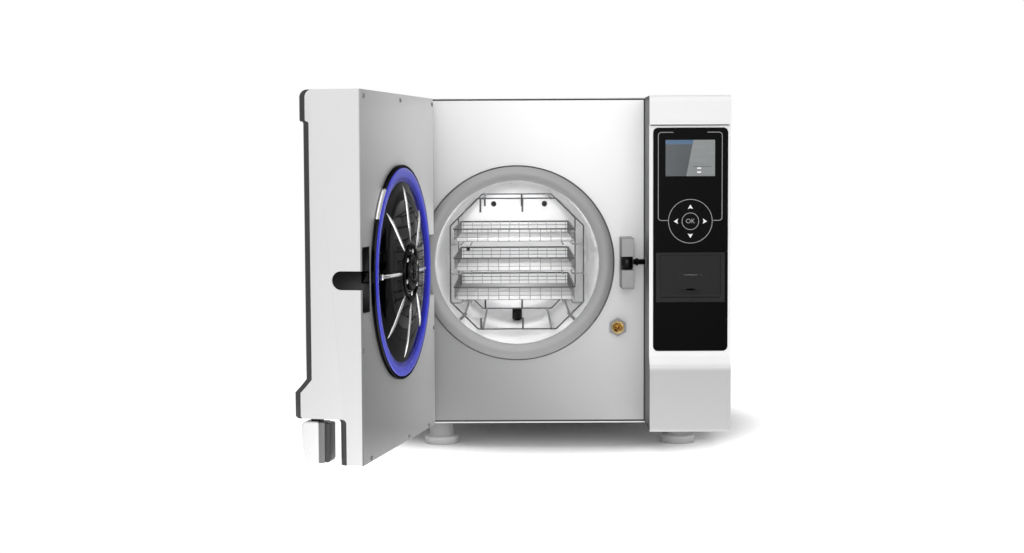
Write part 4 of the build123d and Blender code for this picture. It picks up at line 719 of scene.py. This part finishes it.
def makeRack(d):
    pieces = [wirePath("frontRing", octagonPath(d, d["front"]), d["wire"], "wireDeepPaintedShade", closed=True, bend=4),
              wirePath("backRing", octagonPath(d, d["back"]), d["wire"], "wirePaintedShade", closed=True, bend=4)]
    y0, y1, top, bottom, half = d["front"], d["back"], d["top"], d["bottom"], d["half"]
    before, behind = d["cornerOver"]
    cut = d["corner"] / 2
    side = half - cut
    for x, z in ((side, top - cut), (-side, top - cut), (side, bottom + cut), (-side, bottom + cut)):
        pieces.append(rod("cornerRod", (x, y0 - before, z), (x, y1 + behind, z), d["rodWire"], "wirePaintedShade"))
    for z in (bottom, top):
        pieces.append(wireRow("longRods", (-d["rodX"], y0, z), (-d["rodX"], y1, z), (2 * d["rodX"], 0, 0), 2,
                              d["rodWire"], "wirePaintedShade", 8))
    for x in d["hangers"]:
        for y in (y0, y1):
            pieces.append(rod("hanger", (x, y, top), (x, y, top - d["hangerLong"]), d["hangerWire"], "wireDeepPaintedShade"))
            pieces.append(rod("stand", (x, y, bottom), (x, y, bottom + d["standTall"]), d["standWire"], "wireDeepPaintedShade"))
    for z in d["levels"]:
        for side in (-1, 1):
            edge, x, inner = side * half, side * d["runnerX"], side * d["innerX"]
            pieces.append(wirePath("runner", [(edge, y0, z), (x, y0, z), (x, y1, z), (edge, y1, z)], d["runnerWire"],
                                   "wirePaintedShade", bend=4))
            pieces.append(rod("innerRunner", (inner, y0 + 1, z), (inner, y1 - 1, z), d["innerWire"], "wirePaintedShade"))
        pieces.append(rod("crossBars", (-half, y1, z), (half, y1, z), d["crossWire"], "wirePaintedShade"))
    for turn in d["feet"]:
        c, s = cos(radians(turn)), -sin(radians(turn))
        for y in (y0, y1):
            start, end = [(reach * c, y, reach * s) for reach in (d["footFrom"], d["footTo"])]
            pieces.append(rod("rackFoot", start, end, d["footWire"], "wirePaintedShade", 12))
    mount(joined("wireRack", pieces), "rack_frame", ["rack_frame"], smooth=50)


trayShape = {
    "half": 91, "shift": -4, "front": 30, "length": 357.0, "lowFirst": -57.8, "pitch": 44.3, "height": 19.2,
    "wallPitch": 15.9, "floorPitch": 7.5, "rimWire": 1.15, "rimOut": 1.2, "wallWire": 0.6, "floorWire": 0.45,
    "bands": (0.0, 0.33, 0.66), "wallLift": 0.7, "longLift": 0.6, "crossLift": 1.4,
}


def makeTray(d, index):
    low = d["lowFirst"] + index * d["pitch"]
    high = low + d["height"]
    x, y0, y1 = d["half"], d["front"], d["front"] + d["length"]

    def loop(grow, z):
        return [(a * (x + grow), b, z) for a, b in ((-1, y0 - grow), (1, y0 - grow), (1, y1 + grow), (-1, y1 + grow))]

    def spread(pitch):
        # how many wires go across and along, and where the first of each stands
        across, along = int(2 * x // pitch), int(d["length"] // pitch)
        return across + 1, along + 1, -across * pitch / 2, (y0 + y1 - along * pitch) / 2

    pieces = [wirePath("rim", loop(d["rimOut"], high), d["rimWire"], "wireDeepPaintedShade", closed=True, bend=7, sides=12)]
    for share in d["bands"]:
        pieces.append(wirePath("band", loop(0, low + d["wallWire"] + share * d["height"]), d["wallWire"],
                               "wirePaintedShade", closed=True, bend=5, sides=6))
    pitch, wire, z = d["wallPitch"], d["wallWire"], low + d["wallLift"]
    across, along, startX, startY = spread(pitch)
    # the front end wires get painted shade and the back ones painted light
    for y, finish in ((y0, "wirePaintedShade"), (y1, "wirePaintedLight")):
        pieces.append(wireRow("endWires", (startX, y, z), (startX, y, high), (pitch, 0, 0), across, wire, finish))
    for edge in (-x, x):
        pieces.append(wireRow("sideWires", (edge, startY, z), (edge, startY, high), (0, pitch, 0), along, wire,
                              "wirePaintedShade"))
    pitch, wire = d["floorPitch"], d["floorWire"]
    across, along, startX, startY = spread(pitch)
    z, above = low + d["longLift"], low + d["crossLift"]
    pieces.append(wireRow("floorLong", (startX, y0, z), (startX, y1, z), (pitch, 0, 0), across, wire, "wirePaintedLight"))
    pieces.append(wireRow("floorCross", (-x, startY, above), (x, startY, above), (0, pitch, 0), along, wire,
                          "wirePaintedLight"))
    name = f"tray_{index + 1}"
    tray = joined(f"meshTray{index + 1}", pieces)
    tray.data.transform(Matrix.Translation((d["shift"], 0, 0)))
    mount(tray, name, [name], smooth=50)


makeRack(rackShape)
for trayIndex in range(3):
    makeTray(trayShape, trayIndex)
print("steriliser: rack and trays made")


# Control panel marks, keys and display

panelShape = {
    "face": -89.8, "frameLeft": 205.2, "frameRight": 297.7, "frameTop": 193.3, "frameLow": 65.8, "round": 4.5,
    "gap": (227.0, 276.0), "keyX": 251.8, "keyZ": 64.6, "keyRing": 31.4, "keyOver": 0.3, "okRing": 12.1,
    "line": 0.95, "okLine": 0.9, "okSize": 9.2, "okDeep": 0.06, "keyFace": -90.5,
    "arrow": ((24.2, 0), (17.9, 3.8), (19.1, 0), (17.9, -3.8)),
}


def ribbon(name, points, width, y, finish, closed=False, depth=0.12):
    # flat printed line through (x, z) points with mitred corners
    count = len(points)
    sides = [[], []]
    for i, point in enumerate(points):
        here = Vector(point)
        before = Vector(points[(i - 1) % count]) if closed or i > 0 else None
        after = Vector(points[(i + 1) % count]) if closed or i < count - 1 else None
        runs = [run.normalized() for run in (before and here - before, after and after - here) if run]
        direction = sum(runs, Vector((0, 0))).normalized()
        normal = Vector((-direction.y, direction.x))
        scale = 1 / max(0.5, normal.dot(Vector((-runs[0].y, runs[0].x))))
        for side, sign in ((0, 1), (1, -1)):
            sides[side].append(here + normal * sign * width / 2 * scale)
    vertices, faces = [], []
    for left, right in zip(*sides):
        vertices += [(side.x, level, side.y) for level in (y, y - depth) for side in (left, right)]
    for i in range(count if closed else count - 1):
        a, b = 4 * i, 4 * ((i + 1) % count)
        faces += [[a, a + 1, b + 1, b], [a + 2, b + 2, b + 3, a + 3], [a, b, b + 2, a + 2],
                  [a + 1, a + 3, b + 3, b + 1]]
    if not closed:
        last = 4 * (count - 1)
        faces += [[0, 2, 3, 1], [last, last + 1, last + 3, last + 2]]
    return coat(tidyMesh(meshPiece(name, vertices, faces)), finish)


def roundLine(x, z, radius, steps=72):
    return [(x + radius * cos(2 * pi * i / steps), z + radius * sin(2 * pi * i / steps)) for i in range(steps)]


def flatMark(name, points, y, finish, depth=0.15):
    return coat(prism(name, points, "Y", y - depth, y), finish)


def makePanelMarks(d):
    r, top, low = d["round"], d["frameTop"], d["frameLow"]
    keyX, keyZ, reach = d["keyX"], d["keyZ"], d["keyRing"]
    lines = []
    for side, edge, start in ((-1, d["frameLeft"] + r, d["gap"][0]), (1, d["frameRight"] - r, d["gap"][1])):
        first, last = (180, 270) if side < 0 else (0, -90)
        points = [(start, top)] + arcPoints((edge, top - r), r, 90, first)
        points += arcPoints((edge, low + r), r, first, last) + [(keyX + side * reach, low)]
        lines.append(ribbon("frameLine", points, d["line"], d["face"], "linePaint"))
    circle = roundLine(keyX, keyZ, reach + d["keyOver"])
    lines.append(ribbon("keyCircle", circle, d["line"], d["face"], "linePaint", True))
    mount(joined("panelLines", lines), "cabinet", smooth=30)
    circle = roundLine(keyX, keyZ, d["okRing"], 60)
    ring = ribbon("okCircle", circle, d["okLine"], d["keyFace"], "linePaint", True)
    curve = bpy.data.curves.new("okWord", "FONT")
    curve.body = "OK"
    curve.size = d["okSize"]
    curve.align_x, curve.align_y = "CENTER", "CENTER"
    curve.extrude = d["okDeep"]
    word = newPiece("okWord", curve)
    graph = bpy.context.evaluated_depsgraph_get()
    mesh = bpy.data.meshes.new_from_object(word.evaluated_get(graph))
    bpy.data.objects.remove(word)
    place = Matrix.Translation((keyX, d["keyFace"] - d["okDeep"], keyZ))
    mesh.transform(place @ Matrix.Rotation(pi / 2, 4, "X"))
    mark = coat(newPiece("okMark", mesh), "linePaint")
    mount(joined("okMarks", [ring, mark]), "ok_key", smooth=30)
    for body, turn in (("right_key", 0), ("up_key", 90), ("left_key", 180), ("down_key", 270)):
        c, s = cos(radians(turn)), sin(radians(turn))
        points = [(keyX + u * c - v * s, keyZ + u * s + v * c) for u, v in d["arrow"]]
        mount(flatMark(body + "_arrow", points, d["keyFace"], "markPaint"), body)


screenShape = {
    "place": (215.8, 287.4, 129.9, 182.3), "y": -89.05,
    # name, corners as shares of the width and height, height over the glass, finish, depth
    "areas": (
        ("screenBack", ((0, 0), (1, 0), (1, 1), (0, 1)), 0, "screenDark", 0.1),
        ("screenHead", ((0, 0.88), (0.55, 0.88), (0.56, 1), (0, 1)), 0.1, "screenBlue", 0.03),
        ("screenPaleHalf", ((0.42, 0), (1, 0), (1, 1), (0.56, 1)), 0.1, "screenPale", 0.03),
        ("screenRule", ((0.04, 0.475), (0.485, 0.475), (0.487, 0.49), (0.04, 0.49)), 0.1, "screenLine", 0.05),
        ("screenEdge", ((0.035, 0.5), (0.05, 0.5), (0.05, 0.86), (0.035, 0.86)), 0.1, "screenLine", 0.05)),
    # bars as the share of the height, then of the width at the left and the right
    "rows": ((0.8, 0.14, 0.38), (0.3, 0.22, 0.38), (0.26, 0.56, 0.94)), "rowTall": 0.012,
    "keys": ((0.2, 0.64, 0.72), (0.09, 0.64, 0.72)), "keyTall": 0.04, "barOver": 0.14, "barDeep": 0.05,
}


def makeScreen(d):
    x0, x1, z0, z1 = d["place"]
    areas = list(d["areas"])
    for name, bars, tall, finish in (("screenRow", d["rows"], d["rowTall"], "screenLine"),
                                     ("screenKey", d["keys"], d["keyTall"], "markPaint")):
        for v, u0, u1 in bars:
            corners = ((u0, v), (u1, v), (u1, v + tall), (u0, v + tall))
            areas.append((name, corners, d["barOver"], finish, d["barDeep"]))
    parts = []
    for name, corners, over, finish, deep in areas:
        points = [(x0 + u * (x1 - x0), z0 + v * (z1 - z0)) for u, v in corners]
        parts.append(flatMark(name, points, d["y"] - over, finish, deep))
    mount(joined("displayPicture", parts), "cabinet")


# dark lines of painted shadow: the gap round the front panel and the groove under the column's cap
paintedShadowLines = {
    # name: (x, z) points, width, y, finish, closed
    "panelGapShadow": (((-189.3, -238.8), (191.5, -238.8), (191.5, 244.3), (-189.3, 244.3)), 2.2, -0.02, "gapPaintedShadow", True),
    "capGrooveShadow": (((194, 203.6), (308, 203.6)), 1.6, -89.0, "darkGreyAndPaintedShade", False),
}
flapShape = {
    "lip": ((236.5, -34.4), (238.2, -37.6), (242.5, -40.0), (251.8, -41.2), (261.1, -40.0), (265.4, -37.6),
            (267.1, -34.4)),
    "slit": ((233, -14.4), (242, -12.6), (251.8, -12.0), (261.5, -12.6), (270.5, -14.4)),
    "lipY": -90.0, "lipWire": 1.15, "slitY": -89.75, "slitWire": 0.5, "catch": (266, -31.6),
    "catchDot": ((0, -89.8), (2.1, -89.8), (2.1, -90.2), (0, -90.2)), "lamp": (297.6, 13),
    "lampDot": ((0, -90.2), (1.9, -90.2), (1.9, -90.6), (0, -90.6)),
}


def makeFlapDetails(d):
    lip, slit = [[(x, d[part + "Y"], z) for x, z in d[part]] for part in ("lip", "slit")]
    pieces = [wirePath("lip", lip, d["lipWire"], "flapBlack", bend=2),
              wirePath("slitLine", slit, d["slitWire"], "blackPlastic", bend=2),
              coat(lathe("catchDot", d["catchDot"], middle=d["catch"], steps=18), "blackPlastic")]
    mount(joined("flapLip", pieces), "printer_flap", smooth=40)
    dot = coat(lathe("printerLamp", d["lampDot"], middle=d["lamp"], steps=18), "blackPlastic")
    mount(dot, "cabinet")


makePanelMarks(panelShape)
makeScreen(screenShape)
for shadowLineName, (line, width, y, finish, closed) in paintedShadowLines.items():
    mount(ribbon(shadowLineName, line, width, y, finish, closed), "cabinet", smooth=30)
makeFlapDetails(flapShape)
print("steriliser: panel made")


# Finishes of the parts that keep their solids' shapes

partFinishes = {
    # part: finish, body, slot, rounded edge in millimetres
    "housing_cover": ("whiteEnamel", "cabinet", "white_enamel", 0.5),
    "front_panel": ("panelSteelPaintedShade", "cabinet", "white_enamel", 0.4),
    "column_shell": ("columnEnamelPaintedShade", "cabinet", "white_enamel", 0.8),
    "control_panel": ("panelBlack", "cabinet", "panel_black", 0.4),
    "pressure_chamber": ("polishedSteel", "cabinet", "polished_steel", 0),
    "chamber_flange": ("turnedSteel", "cabinet", "satin_steel", 0),
    "levelling_feet": ("footPlastic", "cabinet", "foot_plastic", 0),
    "hinge_block": ("satinSteel", "cabinet", "satin_steel", 0.6),
    "hinge_pin": ("darkSteelAndPaintedShade", "cabinet", "satin_steel", 0),
    "latch_block": ("satinSteel", "cabinet", "satin_steel", 0.6),
    "lock_actuator": ("satinSteel", "cabinet", "black_plastic", 0),
    "drain_nut": ("satinSteel", "cabinet", "nut_steel", 0.5),
    "drain_fitting": ("brass", "cabinet", "satin_steel", 0),
    "drain_strainer": ("darkSteelAndPaintedShade", "cabinet", "polished_steel", 0),
    "printer_housing": ("printerBlack", "cabinet", "printer_black", 0.4),
    "display_module": ("blackPlastic", "cabinet", "display_glass", 0),
    "latch_roller": ("darkSteelAndPaintedShade", "latch_roller", "dark_steel", 0),
    "lock_bolt": ("darkSteelAndPaintedShade", "lock_bolt", "dark_steel", 0),
    "printer_flap": ("flapBlack", "printer_flap", "printer_black", 0.4),
    "paper_roll": ("paperWhite", "paper_roll", "paper", 0),
    **{key + "_key": ("keyBlack", key + "_key", "key_black", 0.3) for key in ("ok", "up", "down", "left", "right")},
    "door_inner_panel": ("innerSteelPaintedShade", "door", "grey_steel_sheet", 0),
    "latch_pocket": ("blackPlastic", "door", "black_plastic", 0),
    "door_beam": ("sheetSteel", "door", "grey_steel_sheet", 0),
    "door_screws": ("satinSteel", "door", "satin_steel", 0),
    "tank_lid": ("handleWhite", "tank_lid", "handle_plastic", 0.8),
    "rear_panel": ("sheetSteel", "cabinet", "grey_steel_sheet", 0),
    "base_plate": ("sheetSteel", "cabinet", "grey_steel_sheet", 0),
    "fan_rotor": ("blackPlastic", "fan_rotor", "printer_black", 0),
    "fan_housing": ("blackPlastic", "cabinet", "printer_black", 0),
    "power_inlet": ("blackPlastic", "cabinet", "black_plastic", 0.5),
    "power_switch": ("blackPlastic", "power_switch", "black_plastic", 0.5),
    "safety_valve": ("brass", "cabinet", "valve_brass", 0),
    "latch_hook": ("darkSteelAndPaintedShade", "latch_hook", "satin_steel", 0),
}
hiddenFinishes = {
    "heater_bands": "heaterRubber", "insulation_jacket": "insulationCloth", "inner_supports": "sheetSteel",
    "clean_water_tank": "tankPlastic", "waste_water_tank": "tankPlastic", "steam_generator": "aluminium",
    "vacuum_pump": "aluminium", "water_pump": "aluminium", "valve_manifold": "brass", "condenser": "aluminium",
    # the pipework is painted dark so the chamber's ports read as shaded holes
    "control_electronics": "boardGreen", "chamber_pipework": "darkSteelAndPaintedShade", "handle_bracket": "sheetSteel",
}
for partName, (finish, body, slotName, edge) in partFinishes.items():
    refined(partName, finish, body, edge)
for partName, finish in hiddenFinishes.items():
    coat(bpy.data.objects[partName], finish)

# painted shade on the column's side towards the door: its x, the least turn to the left and the reach in metres
columnShadedSide = {"x": (192 + mouthPlace.x) / 1000, "facing": -0.9, "within": 0.0006}
paintFaces(bpy.data.objects["column_shell_surface"], "sidePaintedShade", lambda middle, facing:
           facing.x < columnShadedSide["facing"] and abs(middle.x - columnShadedSide["x"]) < columnShadedSide["within"])
print("steriliser: parts finished", len(partFinishes) + len(hiddenFinishes))


# Floor, light and camera

stageSettings = {
    "floor": (-14, 14, -7, 14),
    "paper": {"colour": shade(252), "roughness": 0.8, "grain": 3, "bump": 0.0, "spread": 0.003, "cloud": 1.0,
              "glow": 0.4, "specular": 0.1},
    # distances from the middle where a fade starts and ends, and its values there; the glow fades out near the
    # machine, a painted deepening of the shade under and beside it
    "glowFadeDeepeningShade": (0.27, 0.42, 0.0, 0.75), "clearFade": (0.5, 1.3, 0.0, 1.0), "roomLight": 0.43, "backdrop": 1.0,
}


def makeStage(d):
    x0, x1, y0, y1 = d["floor"]
    floor = meshPiece("paleFloor", [(x0, y0, 0), (x1, y0, 0), (x1, y1, 0), (x0, y1, 0)], [[0, 1, 2, 3]])
    paper = makeFinish("floorPaper", d["paper"])
    floor.data.materials.append(paper)
    tree, nodes = paper.node_tree, paper.node_tree.nodes
    shader = nodes["Principled BSDF"]
    where = nodes.new("ShaderNodeTexCoord")
    far = nodes.new("ShaderNodeVectorMath")
    far.operation = "LENGTH"
    blend = nodes.new("ShaderNodeMixShader")
    for values, node, entry in ((d["glowFadeDeepeningShade"], shader, "Emission Strength"), (d["clearFade"], blend, "Fac")):
        steps = dict(zip(("From Min", "From Max", "To Min", "To Max"), values))
        fade = setInputs(nodes.new("ShaderNodeMapRange"), steps)
        fade.interpolation_type = "SMOOTHSTEP"
        linkAll(tree, (far, "Value", fade, "Value"), (fade, "Result", node, entry))
    linkAll(tree, (where, "Object", far, 0), (shader, "BSDF", blend, 1),
            (nodes.new("ShaderNodeBsdfTransparent"), "BSDF", blend, 2),
            (blend, "Shader", nodes["Material Output"], "Surface"))
    world = bpy.data.worlds.new("studioWorld")
    bpy.context.scene.world = world
    world.use_nodes = True
    nodes = world.node_tree.nodes
    # the backdrop is white, and lights the room less than it shows
    level = setInputs(nodes.new("ShaderNodeMapRange"), {"To Min": d["roomLight"], "To Max": d["backdrop"]})
    backdrop = setInputs(nodes["Background"], {"Color": (1, 1, 1, 1)})
    linkAll(world.node_tree, (nodes.new("ShaderNodeLightPath"), "Is Camera Ray", level, "Value"),
            (level, "Result", backdrop, "Strength"))


lights = {
    # name: place, aim, width, height, power
    "frontWall": ((0.0, -4.6, 2.0), (0.0, 0.0, 0.7), 4.0, 2.6, 60),
    "topFront": ((-0.1, -1.1, 2.2), (0.0, 0.0, 0.3), 2.0, 2.0, 17),
    "rightFront": ((2.4, -2.0, 1.3), (-0.1, -0.3, 0.3), 1.8, 1.8, 7),
    "panelFill": ((0.0, -2.4, 0.5), (0.09, -0.28, 0.42), 0.5, 0.5, 4.0),
    "chamberGlow": ((-0.065, -0.300, 0.281), (-0.065, 0.2, 0.281), 0.2, 0.2, 0.2),
}
bulbs = {
    # name: place, radius, power
    "chamberHigh": ((-0.065, -0.205, 0.350), 0.03, 0.42),
    "chamberLow": ((-0.065, -0.205, 0.212), 0.03, 0.06),
    "chamberDeepHigh": ((-0.065, 0.02, 0.352), 0.03, 0.17),
    "chamberDeepLow": ((-0.065, 0.02, 0.208), 0.03, 0.16),
}


def addLamp(name, kind, place, power):
    light = bpy.data.lights.new(name, kind)
    light.energy = power
    lamp = newPiece(name, light)
    lamp.location = place
    lamp.visible_camera = False
    return light, lamp


def makeLights():
    for name, (place, aim, width, height, power) in lights.items():
        light, lamp = addLamp(name, "AREA", place, power)
        light.shape = "ELLIPSE" if name == "chamberGlow" else "RECTANGLE"
        light.size, light.size_y = width, height
        lamp.rotation_euler = (Vector(aim) - Vector(place)).to_track_quat("-Z", "Y").to_euler()
    for name, (place, radius, power) in bulbs.items():
        light, lamp = addLamp(name, "POINT", place, power)
        light.shadow_soft_size = radius
        lamp.visible_glossy = False


cameraSettings = {"lens": 62.826, "place": (-0.06552, -2.96901, 0.43070), "yaw": 0.00267, "pitch": 0.07071,
                  "roll": -0.00469, "shift": 0.01305, "sensor": 36}


def makeCamera(d):
    camera = bpy.data.cameras.new("photoCamera")
    camera.lens = d["lens"]
    camera.sensor_width = d["sensor"]
    camera.shift_y = d["shift"]
    holder = newPiece("photoCamera", camera)
    yaw, pitch, roll = d["yaw"], pi / 2 - d["pitch"], d["roll"]
    turn = Matrix.Rotation(yaw, 4, "Z") @ Matrix.Rotation(pitch, 4, "X") @ Matrix.Rotation(roll, 4, "Z")
    holder.matrix_world = Matrix.Translation(d["place"]) @ turn
    bpy.context.scene.camera = holder


makeStage(stageSettings)
makeLights()
makeCamera(cameraSettings)
bpy.context.scene.view_settings.view_transform = "Standard"
print("steriliser: scene ready")
